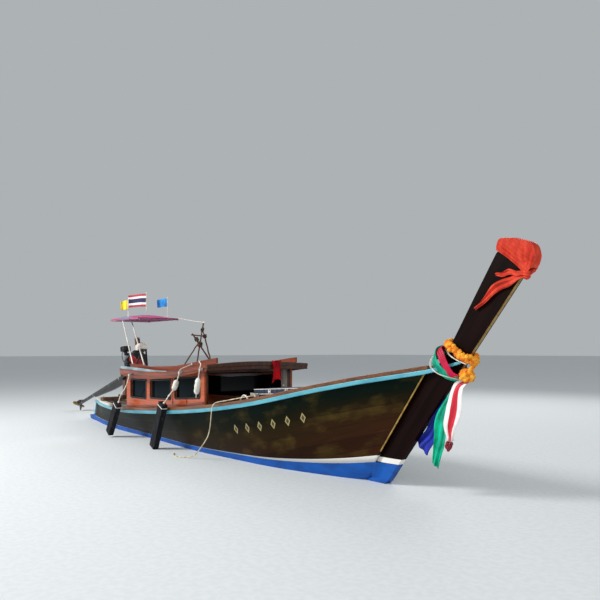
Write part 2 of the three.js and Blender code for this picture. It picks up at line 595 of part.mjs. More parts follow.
// Swivel: a turntable with two cheeks that carry the tilt pins
const TURN = THREE.MathUtils.degToRad(-5.8);   // the tail swings to port, as it lies in the water
const PITCH = THREE.MathUtils.degToRad(12.5);  // and slopes down to the propeller
const swivel = new THREE.Group();
swivel.position.set(PIVOT_X, 0, PIVOT_Z);
swivel.rotation.z = TURN;
boat.add(swivel);
const CHEEK = [80, 96];
const PIN_R = 16;
const PIN_SIDES = 14;
const hollowFor = (radius) => radius / Math.cos(Math.PI / PIN_SIDES) + 0.6;
const yoke = joined(
  disc(72, 14, 20, 'z', 0, 0, -106),
  box(-40, 40, -CHEEK[1], CHEEK[1], -106, -92),
  box(-34, 34, CHEEK[0], CHEEK[1], -106, 34),
  box(-34, 34, -CHEEK[1], -CHEEK[0], -106, 34));
const pinHole = disc(hollowFor(PIN_R), 3 * CHEEK[1], PIN_SIDES, 'y', 0, 0, 0);
add('swivel_yoke', 'dark_steel', cut(yoke, pinHole), swivel);

// The tail: engine, tube and tiller, built along the shaft, +X forward from the tilt pins
const tail = new THREE.Group();
tail.rotation.y = -PITCH;
swivel.add(tail);
const SHAFT_END = -4320;
const TUBE_R = 40;
const CLAMP = 70;
const tailBrace = shaped(6, 1, 1, (u, v, w) => {
  const x = mix(-2600, -230, u);
  const depth = mix(40, 120, Math.min(1, u * 1.6));
  return new THREE.Vector3(x, mix(-26, 26, v), mix(-TUBE_R - depth, 10 - TUBE_R, w));
});
const SHAFT_R = 17;
const tube = joined(
  disc(TUBE_R, 312 - SHAFT_END, 14, 'x', (312 + SHAFT_END) / 2, 0, 0),
  box(-60, 60, -CLAMP, CLAMP, -55, 55),
  disc(PIN_R, 2 * CHEEK[1] - 4, PIN_SIDES, 'y', 0, 0, 0),
  disc(120, 24, 18, 'x', 317.6, 0, 0), tailBrace,
  board([[-4300, -30], [-4030, -30], [-4110, -150], [-4230, -190], [-4270, -180]], -5, 5),
  board([[-4310, 30], [-3970, 30], [-4050, 78], [-4330, 78]], -62, 62));
const shaftBore = disc(hollowFor(SHAFT_R), 260, PIN_SIDES, 'x', SHAFT_END, 0, 0);
add('tail_tube', 'dark_steel', cut(tube, shaftBore), tail);

// Engine: frame with tank stand and tiller, block with sump and head, and what hangs on it
const FRAME = { aft: 330, front: 1010, half: 235, low: -150, high: -100, bar: 30 };
const TANK = { aft: 420, front: 760, inner: 66, outer: 250, low: 400, high: 530 };
add('engine_frame', 'dark_steel', joined(
  box(FRAME.aft, FRAME.front, -FRAME.half, FRAME.bar - FRAME.half, FRAME.low, FRAME.high),
  box(FRAME.aft, FRAME.front, FRAME.half - FRAME.bar, FRAME.half, FRAME.low, FRAME.high),
  box(FRAME.aft, FRAME.aft + 29.6, -FRAME.half, FRAME.half, FRAME.low, 80),
  box(FRAME.front - FRAME.bar, FRAME.front, -FRAME.half, FRAME.half, FRAME.low, FRAME.high),
  box(TANK.aft + 20, TANK.aft + 45, 206, FRAME.half, FRAME.high - 10, TANK.low - 2),
  box(TANK.front - 45, TANK.front - 20, 206, FRAME.half, FRAME.high - 10, TANK.low - 2),
  box(TANK.aft + 20, TANK.front - 20, TANK.inner + 10, FRAME.half, TANK.low - 14, TANK.low - 2),
  bar([[1000, -120, -125], [1090, -118, 20], [1180, -70, 170], [1300, -40, 240]], 17, 8)), tail);
add('engine_block', 'cast_iron', joined(
  box(360, 890, -150, 150, -95, 210),
  box(420, 860, -120, 120, -190, -90),
  box(500, 690, -232, 232, FRAME.high + GAP, -70),
  box(380, 880, -125, 125, 200, 290),
  box(400, 860, -80, 56, 280, 350),
  disc(62, 150, 14, 'x', 815, -205, 140),
  box(780, 850, -180, -140, 110, 160)), tail);
add('exhaust', 'cast_iron', joined(
  box(400, 860, 126, 172, 226, 276),
  bar([[430, 160, 250], [340, 195, 262], [262, 212, 310], [235, 215, 480]], 28, 8),
  disc(58, 300, 14, 'z', 235, 215, 620)), tail);
add('air_cleaner', 'dark_steel', joined(
  disc(105, 90, 16, 'z', 640, -190, 430), disc(38, 80, 10, 'z', 640, -190, 360),
  box(600, 680, -215, -126, 296, 336)), tail);
add('belt_guard', 'red_paint', joined(
  disc(110, 60, 18, 'x', 925, 0, 20), disc(70, 60, 14, 'x', 925, -150, 150),
  box(895, 955, -130, 40, 20, 150)), tail);
add('fuel_tank', 'white_paint', shaped(3, 3, 1, (u, v, w) => new THREE.Vector3(
  mix(TANK.aft, TANK.front, u), mix(TANK.inner, TANK.outer, v),
  mix(TANK.low, TANK.high, w) + 14 * Math.sin(Math.PI * u) * w)), tail);

// Propeller: two twisted blades on a hub, turning on the end of the shaft
const HUB_R = 34;
const BLADE_REACH = 165;
const blade = (turn) => {
  const body = shaped(4, 6, 1, (u, v, w) => {
    const r = mix(HUB_R - 12, BLADE_REACH, v);
    const chord = 105 * Math.sin(Math.PI * mix(0.22, 0.93, v)) ** 0.7;
    const twist = THREE.MathUtils.degToRad(mix(62, 24, v));
    const across = (u - 0.5) * chord;
    const thick = (w - 0.5) * mix(11, 4, v);
    return new THREE.Vector3(
      across * Math.sin(twist) + thick * Math.cos(twist),
      across * Math.cos(twist) - thick * Math.sin(twist), r);
  });
  return body.rotateX(turn);
};
const propeller = add('propeller', 'bronze', joined(
  disc(HUB_R, 110, 14, 'x', 0, 0, 0), disc(SHAFT_R, 180, PIN_SIDES, 'x', 90, 0, 0),
  blade(0), blade(Math.PI)), tail);
propeller.position.set(SHAFT_END - 66, 0, 0);
propeller.rotation.x = THREE.MathUtils.degToRad(64);

// Sunshade over the helm: two leaning posts, a light frame and three flag staffs on it
const SHADE = { aft: -3330, front: -2010, low: -450, high: 380, z: 2268 };
// Flags fly aft and to starboard. Columns: name, finish, staff x, y, top z, flag length, height
const FLY = [-0.85, -0.52];
const FLAGS = [
  ['national', 'flag_stripes', -2400, -100, 2815, 430, 262],
  ['yellow', 'yellow_cloth', -2490, -450, 2680, 180, 205],
  ['blue', 'blue_cloth', -2160, 250, 2725, 250, 195],
];
add('shade_frame', 'pale_tube', barred([
  ...FLAGS.map(([, , x, y, top]) => [[x, y, SHADE.z - 4], [x, y, top], 8]),
  [[FLAGS[0][2], SHADE.low, SHADE.z], [FLAGS[0][2], SHADE.high, SHADE.z], 11],
  [[FLAGS[2][2], SHADE.low, SHADE.z], [FLAGS[2][2], SHADE.high, SHADE.z], 11],
  [[-1665, -479, 1344], [-2800, -250, SHADE.z], 13],
  [[-1665, -703, 1331], [-2800, -440, SHADE.z], 13],
  [[-1665, -479, 1350], [-1665, -703, 1338], 10],
  [[-2800, SHADE.low, SHADE.z], [-2800, SHADE.high, SHADE.z], 12],
  [[SHADE.aft, SHADE.low, SHADE.z], [SHADE.front, SHADE.low, SHADE.z], 12],
  [[SHADE.aft, SHADE.high, SHADE.z], [SHADE.front, SHADE.high, SHADE.z], 12],
  [[SHADE.aft, SHADE.low, SHADE.z], [SHADE.aft, SHADE.high, SHADE.z], 12],
  [[SHADE.front, SHADE.low, SHADE.z], [SHADE.front, SHADE.high, SHADE.z], 12],
], 8));
// The canopy lies on the frame and is holed where the staffs come through
const canopyZ = (u, v) => SHADE.z + 20 + 45 * Math.sin(Math.PI * v) * Math.sin(Math.PI * u) ** 0.6;
const canopy = shaped(8, 6, 1, (u, v, w) => new THREE.Vector3(
  mix(SHADE.aft - 30, SHADE.front + 40, u), mix(SHADE.low - 25, SHADE.high + 25, v), canopyZ(u, v) + w * 10));
add('shade_canopy', 'pink_cloth', cut(canopy,
  ...FLAGS.map(([, , x, y]) => disc(11, 200, 8, 'z', x, y, SHADE.z + 60))));

for (const [name, finish, x, y, topZ, length, height] of FLAGS) {
  add(`flag_${name}`, finish, shaped(6, 1, 1, (u, v, w) => {
    const reach = mix(10, length, u);
    const wave = 16 * Math.sin(u * 5.5);
    const cross = wave + (v - 0.5) * 6;
    return new THREE.Vector3(x + FLY[0] * reach - FLY[1] * cross, y + FLY[1] * reach + FLY[0] * cross,
      topZ - 8 - height * (1 - w));
  }));
}

// Crossed poles lashed together on the roof hold the sunshade's forward line
add('roof_poles', 'dark_wood', joined(
  bar([[257, -500, 1920], [267, -73, 1344]], 14, 7),
  bar([[293, -310, 2100], [119, -354, 1331]], 13, 7),
  bar([[135, -200, 1900], [-35, 58, 1333]], 13, 7),
  bar([[200, -335, 1790], [-212, -453, 1318]], 12, 7),
  bar([[262, -520, 1900], [130, -180, 1884]], 12, 7),
  bar([[130, -190, 1890], [262, -312, 1990]], 9, 6),
  new THREE.SphereGeometry(46, 10, 8).translate(228, -338, 1742)));
add('shade_stay', 'rope', bar([[-1960, 405, 2292], [283, -285, 2112]], 5, 6));

// Dressing on the stem: ribbons and a garland round it, streamers below, a cloth over its tip

// A collar square to the stem at a height, its length along the stem. Half widths of its hole at the
// back and in front allow for the rub rails' ends.
function collar(z, length, thick, backSide, frontSide) {
  const centre = (stemBack(z) + stemFront(z)) / 2;
  const half = Math.cos(STEM_LEAN) * (stemFront(z) - stemBack(z)) / 2;
  const back = half + length * 0.07 + 4;
  const front = half + 3;
  const outline = (more) => [[-back - more, -backSide - more], [front + more, -frontSide - more],
    [front + more, frontSide + more], [-back - more, backSide + more]]
    .map(([x, y]) => new THREE.Vector2(x, y));
  const ring = new THREE.Shape(outline(thick));
  ring.holes.push(new THREE.Path(outline(0)));
  const body = new THREE.ExtrudeGeometry(ring, { depth: length, bevelEnabled: false });
  return body.translate(0, 0, -length / 2).rotateY(STEM_LEAN).translate(centre, 0, z);
}
add('stem_ribbons', 'crimson_cloth', closed(collar(1480, 200, 10, 140, 84)));
const loop = (radius, thick, x, y, z) => new THREE.TorusGeometry(radius, thick, 8, 12)
  .rotateX(Math.PI / 2).translate(x, y, z);
add('garland', 'marigold', joined(collar(1636, 84, 56, KEEL_HALF + 4, KEEL_HALF + 4),
  loop(64, 32, 5614, -10, 1478), loop(60, 30, 5546, 14, 1400)));

// A strip of cloth along a curve. Rows: x, y, z, width
function strip(rows, thick, steps) {
  const path = curve(rows);
  const widths = rows.map((row, i) => [i / (rows.length - 1), row[3]]);
  return shaped(steps, 1, 1, (u, v, w) => {
    const at = path.getPoint(u);
    const ahead = path.getTangent(u);
    const across = new THREE.Vector3(ahead.z, 0, -ahead.x).normalize();
    at.addScaledVector(across, (w - 0.5) * read(widths, u));
    at.y += (v - 0.5) * thick;
    return at;
  });
}
// Streamers hang in front of the stem, drawn aft as the boat moves
const KNOT = [5475, 0, 1306];
add('streamers', 'green_cloth', joined(
  new THREE.SphereGeometry(28, 10, 8).translate(...KNOT),
  strip([[...KNOT, 40], [5405, -30, 1215, 130], [5325, -50, 930, 170], [5291, -52, 650, 128],
    [5291, -50, 545, 124]], 26, 12),
  strip([[...KNOT, 40], [5290, -6, 1160, 70], [5190, -14, 950, 110], [5137, -12, 610, 158],
    [5100, -10, 350, 120]], 26, 12),
  strip([[...KNOT, 40], [5245, 20, 1110, 60], [5075, 24, 850, 80], [5003, 24, 700, 120],
    [4935, 24, 490, 180]], 26, 12)));

// Cloth drawn over the stem's tip and knotted in front, with its tails blown aft
const TIP_CLOTH = 24;
const TIP_OUTLINE = [[5872, 2652], [5905, 2775], [5945, 2788], [6060, 2775], [6290, 2725], [6388, 2622],
  [6398, 2565], [6358, 2440], [6352, 2345], [6235, 2310], [6226, 2452]];
const TIP_HOLE = [[5840, 2560], [5876, 2650], [5952, 2702], [6122, 2712], [6298, 2675], [6361, 2606],
  [6160, 2340], [5700, 2340]];
add('tip_cloth', 'coral_cloth', joined(
  cut(board(TIP_OUTLINE, -KEEL_HALF - TIP_CLOTH, KEEL_HALF + TIP_CLOTH),
    board(TIP_HOLE, -KEEL_HALF - 2, KEEL_HALF + 2)),
  strip([[6290, -76, 2370, 60], [6100, -78, 2330, 90], [5850, -76, 2200, 80], [5650, -72, 2075, 30]], 20, 9),
  strip([[6290, -78, 2390, 50], [6100, -80, 2404, 70], [5920, -76, 2410, 30]], 20, 6)));

// Red cloth hung over the front of the roof
add('roof_cloth', 'red_cloth', shaped(1, 4, 6, (u, v, w) => {
  const y = mix(215, 395, v);
  return new THREE.Vector3(ROOF_FRONT + 42 + u * 22 + 6 * Math.sin(v * 9), y, mix(1100, 1468, w));
}));

export default boat;
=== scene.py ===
"""Looks of the longtail boat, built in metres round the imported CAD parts."""

import itertools
import logging
import random
from dataclasses import dataclass
from enum import Enum
from math import atan2, copysign, cos, exp, hypot, pi, radians, sin, sqrt
from typing import Callable, Sequence

import bmesh
import bpy
from mathutils import Matrix, Vector, noise


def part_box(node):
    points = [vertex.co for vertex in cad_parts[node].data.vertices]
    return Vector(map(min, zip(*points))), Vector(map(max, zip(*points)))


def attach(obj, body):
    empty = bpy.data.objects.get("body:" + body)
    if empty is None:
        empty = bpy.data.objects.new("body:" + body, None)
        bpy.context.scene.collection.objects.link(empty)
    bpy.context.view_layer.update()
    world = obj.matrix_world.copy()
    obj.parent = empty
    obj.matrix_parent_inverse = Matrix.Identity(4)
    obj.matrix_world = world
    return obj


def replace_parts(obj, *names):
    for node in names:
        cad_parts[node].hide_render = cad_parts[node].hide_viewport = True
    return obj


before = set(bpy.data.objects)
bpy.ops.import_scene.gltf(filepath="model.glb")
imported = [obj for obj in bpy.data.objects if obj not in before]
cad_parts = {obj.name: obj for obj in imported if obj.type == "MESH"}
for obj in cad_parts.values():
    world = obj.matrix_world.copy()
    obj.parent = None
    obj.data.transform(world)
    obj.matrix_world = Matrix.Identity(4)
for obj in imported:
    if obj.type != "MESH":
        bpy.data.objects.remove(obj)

Tree, Node, Socket = bpy.types.NodeTree, bpy.types.Node, bpy.types.NodeSocket
Mesh, Piece = bmesh.types.BMesh, bpy.types.Object
Triple = tuple[float, float, float]
LOG = logging.getLogger("longtail boat")
Section = Sequence[tuple[float, float]]
MM = 0.001
UP, AHEAD, ACROSS = Vector((0, 0, 1)), Vector((1, 0, 0)), Vector((0, 1, 0))
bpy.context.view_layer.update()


class Side(Enum):
    """The two sides of the boat, as the sign of Y."""

    STARBOARD = -1
    PORT = 1

    @property
    def word(self) -> str:
        """Returns the side's name as the nodes have it."""
        return self.name.lower()


def linear(colour: str) -> tuple[float, float, float, float]:
    """Turns an sRGB hex colour to linear RGBA.

    Args:
        colour: Hex colour such as "#c4561f".

    Returns:
        Linear red, green, blue and an alpha of 1.
    """
    parts = [int(colour[i:i + 2], 16) / 255 for i in (1, 3, 5)]
    return (*[c / 12.92 if c <= 0.04045 else ((c + 0.055) / 1.055) ** 2.4 for c in parts], 1.0)


# Nodes

def put(of: Tree | Node | Socket, kind: str, inputs: dict | None = None,
        stops: Sequence[tuple[float, str]] = (), **settings: object) -> Node:
    """Adds one node with its settings and links.

    Args:
        of: Tree that gets the node, or a node or socket in it.
        kind: Node type, without the words ShaderNode.
        inputs: Socket name or number to a value, or to the output that is linked to it.
        stops: Places and colours of a colour ramp.
        **settings: The node's own properties.

    Returns:
        The new node.
    """
    tree = of.id_data
    made = tree.nodes.new("ShaderNode" + kind)
    for name, value in settings.items():
        setattr(made, name, value)
    for key, value in (inputs or {}).items():
        if isinstance(value, Socket):
            tree.links.new(value, made.inputs[key])
        else:
            made.inputs[key].default_value = value
    for i, (where, colour) in enumerate(stops):
        elements = made.color_ramp.elements
        point = elements[i] if i < 2 else elements.new(where)
        point.position = where
        point.color = linear(colour)
    return made


def grit(where: Socket, size: float, stretch: Triple = (1, 1, 1)) -> Socket:
    """Adds a fine noise.

    Args:
        where: Coordinates in metres.
        size: Size of its patches in millimetres.
        stretch: How many times longer a patch is along each axis.

    Returns:
        The noise, from 0 to 1.
    """
    scale = [1000 / size / s for s in stretch]
    spot = put(where, "Mapping", {"Vector": where, "Scale": scale}).outputs[0]
    return put(where, "TexNoise", {"Vector": spot, "Scale": 1.0, "Detail": 5.0}).outputs[0]


def calc(operation: str, a: Socket, b: object = 0.0) -> Socket:
    """Returns the result of one operation on an output and a number or a second output."""
    return put(a, "Math", {0: a, 1: b}, operation=operation).outputs[0]


def over(share: object, under: Socket, colour: str) -> Socket:
    """Returns a colour laid over another by a share."""
    return put(under, "Mix", {0: share, 6: under, 7: linear(colour)}, data_type="RGBA").outputs[2]


def fade(value: Socket, low: float, high: float, start: float = 0.0, end: float = 1.0) -> Socket:
    """Returns start where the value is below low, end where it is above high and a blend between."""
    return put(value, "MapRange", {0: value, 1: low, 2: high, 3: start, 4: end}).outputs[0]


# Finishes

@dataclass(frozen=True)
class Finish:
    """A real material and how its surface was made."""

    name: str
    slot: str
    base: str
    tone: str
    roughness: float = 0.5
    metallic: float = 0.0
    coat: float = 0.0
    sheen: float = 0.0
    specular: float = 0.5

    def material(self) -> bpy.types.Material:
        """Returns the node material, made once."""
        found = bpy.data.materials.get(self.name)
        if found:
            return found
        made = bpy.data.materials.new(self.name)
        made.use_nodes = True
        tree = made.node_tree
        shader = tree.nodes["Principled BSDF"]
        settings = {"Metallic": self.metallic, "Roughness": self.roughness, "Coat Weight": self.coat,
                    "Coat Roughness": 0.1, "Sheen Weight": self.sheen, "Sheen Roughness": 0.5,
                    "Specular IOR Level": self.specular}
        for name, value in settings.items():
            shader.inputs[name].default_value = value
        self.dress(shader, put(tree, "TexCoord").outputs["Object"])
        return made

    def dress(self, shader: Node, where: Socket) -> None:
        """Adds colour, roughness and bump; a plain mottle unless a finish gives its own."""
        self.link(shader, self.mottle(where, 60), grit(where, 6), 0.15)

    def mottle(self, where: Socket, size: float, stretch: Triple = (1, 1, 1)) -> Socket:
        """Returns a blend of base and tone in soft patches of a size in millimetres."""
        patches = grit(where, size, stretch)
        return put(where, "ValToRGB", {0: patches}, [(0.38, self.tone), (0.6, self.base)]).outputs[0]

    def link(self, shader: Node, colour: Socket, height: Socket, strength: float, depth: float = 1.0) -> None:
        """Links colour, a bump and a roughness that varies with the bump's height.

        Args:
            shader: Its shader.
            colour: Colour output.
            height: Height output, from 0 to 1.
            strength: Strength of the bump.
            depth: Depth of the bump in millimetres.
        """
        links = shader.id_data.links
        links.new(colour, shader.inputs["Base Color"])
        bump = put(shader, "Bump", {"Height": height, "Strength": strength, "Distance": depth * MM})
        links.new(bump.outputs[0], shader.inputs["Normal"])
        rough = fade(height, 0, 1, self.roughness * 0.75, min(self.roughness * 1.3, 1))
        links.new(rough, shader.inputs["Roughness"])


@dataclass(frozen=True)
class Timber(Finish):
    """Varnished or bare boards: long grain, seams between boards, a tint to each board."""

    grain: float = 7.0
    run: Triple = (45, 1, 1)
    lean: float = 0.0
    board: float = 0.0
    across: int = 1
    seam: float = 4.0

    def dress(self, shader: Node, where: Socket) -> None:
        """Adds grain, seams and board tints."""
        if self.lean:
            turned = {"Vector": where, "Rotation": (0, radians(self.lean), 0)}
            where = put(where, "Mapping", turned).outputs[0]
        colour, height = self.figure(where)
        if self.board:
            axis = put(where, "SeparateXYZ", {0: where}).outputs[self.across]
            colour, height = self.boards(axis, colour, height)
        self.link(shader, colour, height, 0.3)

    def figure(self, where: Socket) -> tuple[Socket, Socket]:
        """Returns the colour and height of the grain."""
        fine = grit(where, self.grain, self.run)
        broad = grit(where, self.grain * 7, [max(1, s * 0.4) for s in self.run])
        both = put(where, "Mix", {0: 0.5, 2: fine, 3: broad}, data_type="FLOAT").outputs[0]
        return put(where, "ValToRGB", {0: both}, [(0.38, self.tone), (0.56, self.base)]).outputs[0], fine

    def boards(self, axis: Socket, colour: Socket, height: Socket) -> tuple[Socket, Socket]:
        """Lays a dark seam and a new tint over every board along an axis.

        Args:
            axis: Place across the boards in metres.
            colour: Colour of the grain.
            height: Height of the grain.

        Returns:
            The new colour and height.
        """
        count = calc("MULTIPLY", axis, 1000 / self.board)
        whole = calc("FLOOR", count)
        middle = calc("SUBTRACT", calc("SUBTRACT", count, whole), 0.5)
        seam = fade(calc("ABSOLUTE", middle), 0.5 - self.seam / self.board, 0.5)
        tint = put(axis, "TexWhiteNoise", {"W": whole}, noise_dimensions="1D").outputs[0]
        value = fade(tint, 0, 1, 0.72, 1.12)
        toned = put(axis, "HueSaturation", {"Value": value, "Color": colour}).outputs[0]
        return over(seam, toned, "#160b06"), calc("SUBTRACT", height, seam)


@dataclass(frozen=True)
class CapTimber(Timber):
    """Capping plank: varnish amidships, sun-bleached paint at the stern."""

    bleached: str = "#d9d3c8"

    def figure(self, where: Socket) -> tuple[Socket, Socket]:
        """Returns the grain, paler aft."""
        colour, height = super().figure(where)
        along = put(where, "SeparateXYZ", {0: where}).outputs[0]
        rough = calc("ADD", along, calc("MULTIPLY", height, 0.5))
        return over(fade(rough, -2.3, -2.6), colour, self.bleached), height


@dataclass(frozen=True)
class StemTimber(Timber):
    """Stem board: dark varnish, with the boot stripe painted across its foot."""

    stripe: str = "#ece8e0"
    top: float = 0.327

    def figure(self, where: Socket) -> tuple[Socket, Socket]:
        """Returns the grain, white below the stripe's upper edge."""
        colour, height = super().figure(where)
        spot = put(where, "TexCoord").outputs["Object"]
        up = put(where, "SeparateXYZ", {0: spot}).outputs[2]
        return over(calc("LESS_THAN", up, self.top), colour, self.stripe), height


@dataclass(frozen=True)
class PlankPaint(Timber):
    """Dark varnish and paint on carvel planks: seams run with the sheer.

    The stripe above the bottom paint widens to a wedge at the bow, as in the photograph. A row of plain
    gold lozenges stands where the real side has its painted name.
    """

    stripe: str = "#ece8e0"
    gold: str = "#b9aa78"
    # Lozenges in metres: distance apart, middle below the sheer, half height; half width as a share of the first
    pitch: float = 0.26
    drop: float = 0.35
    tall: float = 0.075
    share: float = 0.18

    def dress(self, shader: Node, where: Socket) -> None:
        """Adds the planks' tones, their seams, the lozenges and the stripe."""
        uv = put(where, "UVMap", uv_map="planks").outputs[0]
        along, below = put(where, "SeparateXYZ", {0: uv}).outputs[:2]
        above = put(where, "Attribute", attribute_name="above").outputs["Fac"]
        clouds = grit(uv, 420, (2.4, 1, 1))
        drift = calc("MULTIPLY", calc("SUBTRACT", clouds, 0.5), 0.5)
        depth = calc("ADD", below, drift)
        stops = [(0.0, "#01120c"), (0.16, "#04120a"), (0.32, "#1a1706"), (0.5, "#271a07"), (0.8, "#2c190a")]
        colour = put(where, "ValToRGB", {0: depth}, stops).outputs[0]
        warm = calc("MULTIPLY", fade(along, 2.9, 4.4), fade(below, 0.2, 0.9))
        colour = over(calc("MULTIPLY", warm, 0.8), colour, "#3b1e10")
        # Pale olive patches forward of the stern: partly the side's airbrushed swirls, partly painted sheen
        sheen_and_swirls = fade(grit(uv, 260, (1.6, 1, 1)), 0.52, 0.72, 0, 0.28)
        sheen_and_swirls = calc("MULTIPLY", sheen_and_swirls, fade(along, -2.6, 1.2))
        colour = over(sheen_and_swirls, colour, "#6e5a26")
        grain = grit(uv, 9, (50, 1, 1))
        value = fade(grain, 0.3, 0.7, 0.78, 1.2)
        colour = put(where, "HueSaturation", {"Value": value, "Color": colour}).outputs[0]
        colour, height = self.boards(below, colour, grain)
        colour = over(self.lozenges(along, below), colour, self.gold)
        wide = calc("POWER", fade(along, 0.2, 4.2), 2.4)
        wide = calc("ADD", calc("MULTIPLY", wide, 0.085), 0.005)
        inside = calc("LESS_THAN", above, wide)
        self.link(shader, over(inside, colour, self.stripe), height, 0.3)

    def lozenges(self, along: Socket, below: Socket) -> Socket:
        """Draws a row of outlined lozenges 94 mm wide and 150 mm high, each 260 mm from the next.

        Args:
            along: Place along the planks in metres.
            below: Distance below the sheer in metres.

        Returns:
            The share of gold, from 0 to 1.
        """
        part = calc("FRACT", calc("DIVIDE", along, self.pitch))
        across = calc("DIVIDE", calc("ABSOLUTE", calc("SUBTRACT", part, 0.5)), self.share)
        high = calc("DIVIDE", calc("ABSOLUTE", calc("SUBTRACT", below, self.drop)), self.tall)
        reach = calc("ADD", across, high)
        rim = calc("SUBTRACT", fade(reach, 1.0, 0.92), calc("MULTIPLY", fade(reach, 0.62, 0.54), 0.8))
        ends = calc("MULTIPLY", fade(along, 1.82, 1.83), fade(along, 3.38, 3.37))
        return calc("MULTIPLY", rim, calc("MULTIPLY", ends, 0.75))


@dataclass(frozen=True)
class Enamel(Finish):
    """Brushed gloss paint on wood or steel: faint brush lines, dull patches and worn spots."""

    worn: str = "#8d8272"
    share: float = 0.3
    patch: float = 120.0

    def dress(self, shader: Node, where: Socket) -> None:
        """Adds brush lines, stains and worn spots."""
        colour = self.mottle(where, self.patch, (3, 1, 1))
        spots = fade(grit(where, 22, (3, 1, 1)), 0.8 - self.share * 0.5, 0.83 - self.share * 0.5)
        self.link(shader, over(spots, colour, self.worn), grit(where, 4, (30, 1, 1)), 0.12)


@dataclass(frozen=True)
class SleevedTube(Enamel):
    """Painted tube whose upper bars lie in sleeves of the canopy's cloth."""

    sleeve: str = "#a8648c"
    line: float = 2.243

    def mottle(self, where: Socket, size: float, stretch: Triple = (1, 1, 1)) -> Socket:
        """Returns the paint's tones, and the sleeves' above a height."""
        colour = super().mottle(where, size, stretch)
        up = put(where, "SeparateXYZ", {0: where}).outputs[2]
        cloth = calc("MULTIPLY", calc("GREATER_THAN", up, self.line), calc("LESS_THAN", up, self.line + 0.06))
        return over(cloth, colour, self.sleeve)


@dataclass(frozen=True)
class Metal(Finish):
    """Cast, rolled or brushed metal with patches of rust, salt or grease."""

    stain: str = "#5b3423"
    share: float = 0.3
    grain: float = 3.0
    run: Triple = (1, 1, 1)

    def dress(self, shader: Node, where: Socket) -> None:
        """Adds the surface's grain and its stains, which shine less."""
        spots = fade(grit(where, 45), 0.72 - self.share * 0.5, 0.8 - self.share * 0.5)
        colour = over(spots, self.mottle(where, 80), self.stain)
        self.link(shader, colour, grit(where, self.grain, self.run), 0.2)
        dull = fade(spots, 0, 1, self.metallic, self.metallic * 0.3)
        shader.id_data.links.new(dull, shader.inputs["Metallic"])


@dataclass(frozen=True)
class Weave(Finish):
    """Woven cloth: two sets of threads, faded patches and soft sheen.

    The real threads are finer than the render shows, so they are drawn a little coarse.
    """

    thread: float = 5.0
    patch: float = 110.0
    relief: float = 0.25

    def dress(self, shader: Node, where: Socket) -> None:
        """Adds threads and faded patches."""
        self.link(shader, self.tint(where), self.threads(where), self.relief)

    def tint(self, where: Socket) -> Socket:
        """Returns the cloth's colour."""
        return self.mottle(where, self.patch, (1, 1, 2))

    def threads(self, where: Socket) -> Socket:
        """Returns the height of crossed threads."""
        # At scale 1 the wave's bands repeat every 2 pi / 20 of a metre
        scale = 2 * pi * 1000 / self.thread / 20
        warp = put(where, "TexWave", {"Vector": where, "Scale": scale}, bands_direction="X").outputs[1]
        weft = put(where, "TexWave", {"Vector": where, "Scale": scale}, bands_direction="Z").outputs[1]
        return calc("MULTIPLY", warp, weft)


@dataclass(frozen=True)
class Striped(Weave):
    """Cloth sewn or dyed in stripes along one way of its UV map."""

    stripes: tuple[tuple[float, str], ...] = ()
    way: int = 1

    def tint(self, where: Socket) -> Socket:
        """Returns the stripes, a little faded in patches."""
        uv = put(where, "UVMap", uv_map="cloth").outputs[0]
        share = put(where, "SeparateXYZ", {0: uv}).outputs[self.way]
        ramp = put(where, "ValToRGB", {0: share}, self.stripes)
        ramp.color_ramp.interpolation = "CONSTANT"
        value = fade(grit(where, self.patch), 0.3, 0.7, 0.82, 1.1)
        return put(where, "HueSaturation", {"Value": value, "Color": ramp.outputs[0]}).outputs[0]


@dataclass(frozen=True)
class Canopy(Weave):
    """Coated pink canopy cloth, lilac grey in the middle as painted shade of its underside, and paler at its hem."""

    hem: str = "#e9d9dc"

    def tint(self, where: Socket) -> Socket:
        """Returns pink, with painted shade of lilac grey in a large soft patch."""
        uv = put(where, "UVMap", uv_map="cloth").outputs[0]
        along, across = put(where, "SeparateXYZ", {0: uv}).outputs[:2]
        drift = calc("ADD", along, calc("MULTIPLY", grit(where, 300), 0.35))
        # Lilac grey in the middle: painted shade of the canopy's underside
        colour = put(where, "ValToRGB", {0: drift}, [
            (0.42, self.base), (0.54, self.tone), (0.84, self.tone), (0.95, self.base)]).outputs[0]
        edge = calc("ABSOLUTE", calc("SUBTRACT", across, 0.5))
        return over(fade(edge, 0.494, 0.496), colour, self.hem)

    def dress(self, shader: Node, where: Socket) -> None:
        """Adds the weave and lets daylight glow through the cloth."""
        shader.inputs["Transmission Weight"].default_value = 0.3
        super().dress(shader, where)


@dataclass(frozen=True)
class Worn(Finish):
    """Moulded rubber, vinyl or foam: fine grit, and scuffs where it rubs."""

    scuff: str = "#4c4a4c"
    share: float = 0.4
    grain: float = 2.5
    strength: float = 0.3

    def dress(self, shader: Node, where: Socket) -> None:
        """Adds grit and scuffs."""
        bare = self.share * 0.5
        rubbed = fade(grit(where, 40, (1, 1, 4)), 0.75 - bare, 0.95 - bare)
        colour = over(rubbed, self.mottle(where, 90), self.scuff)
        self.link(shader, colour, grit(where, self.grain), self.strength)


@dataclass(frozen=True)
class Glass(Finish):
    """Tinted acrylic window sheet: near-black, glossy, with rain marks."""

    def dress(self, shader: Node, where: Socket) -> None:
        """Adds faint marks to a smooth dark sheet that lets a little light through."""
        shader.inputs["Transmission Weight"].default_value = 0.02
        shader.inputs["IOR"].default_value = 1.49
        self.link(shader, self.mottle(where, 350, (1, 1, 2)), grit(where, 30, (1, 1, 6)), 0.03)


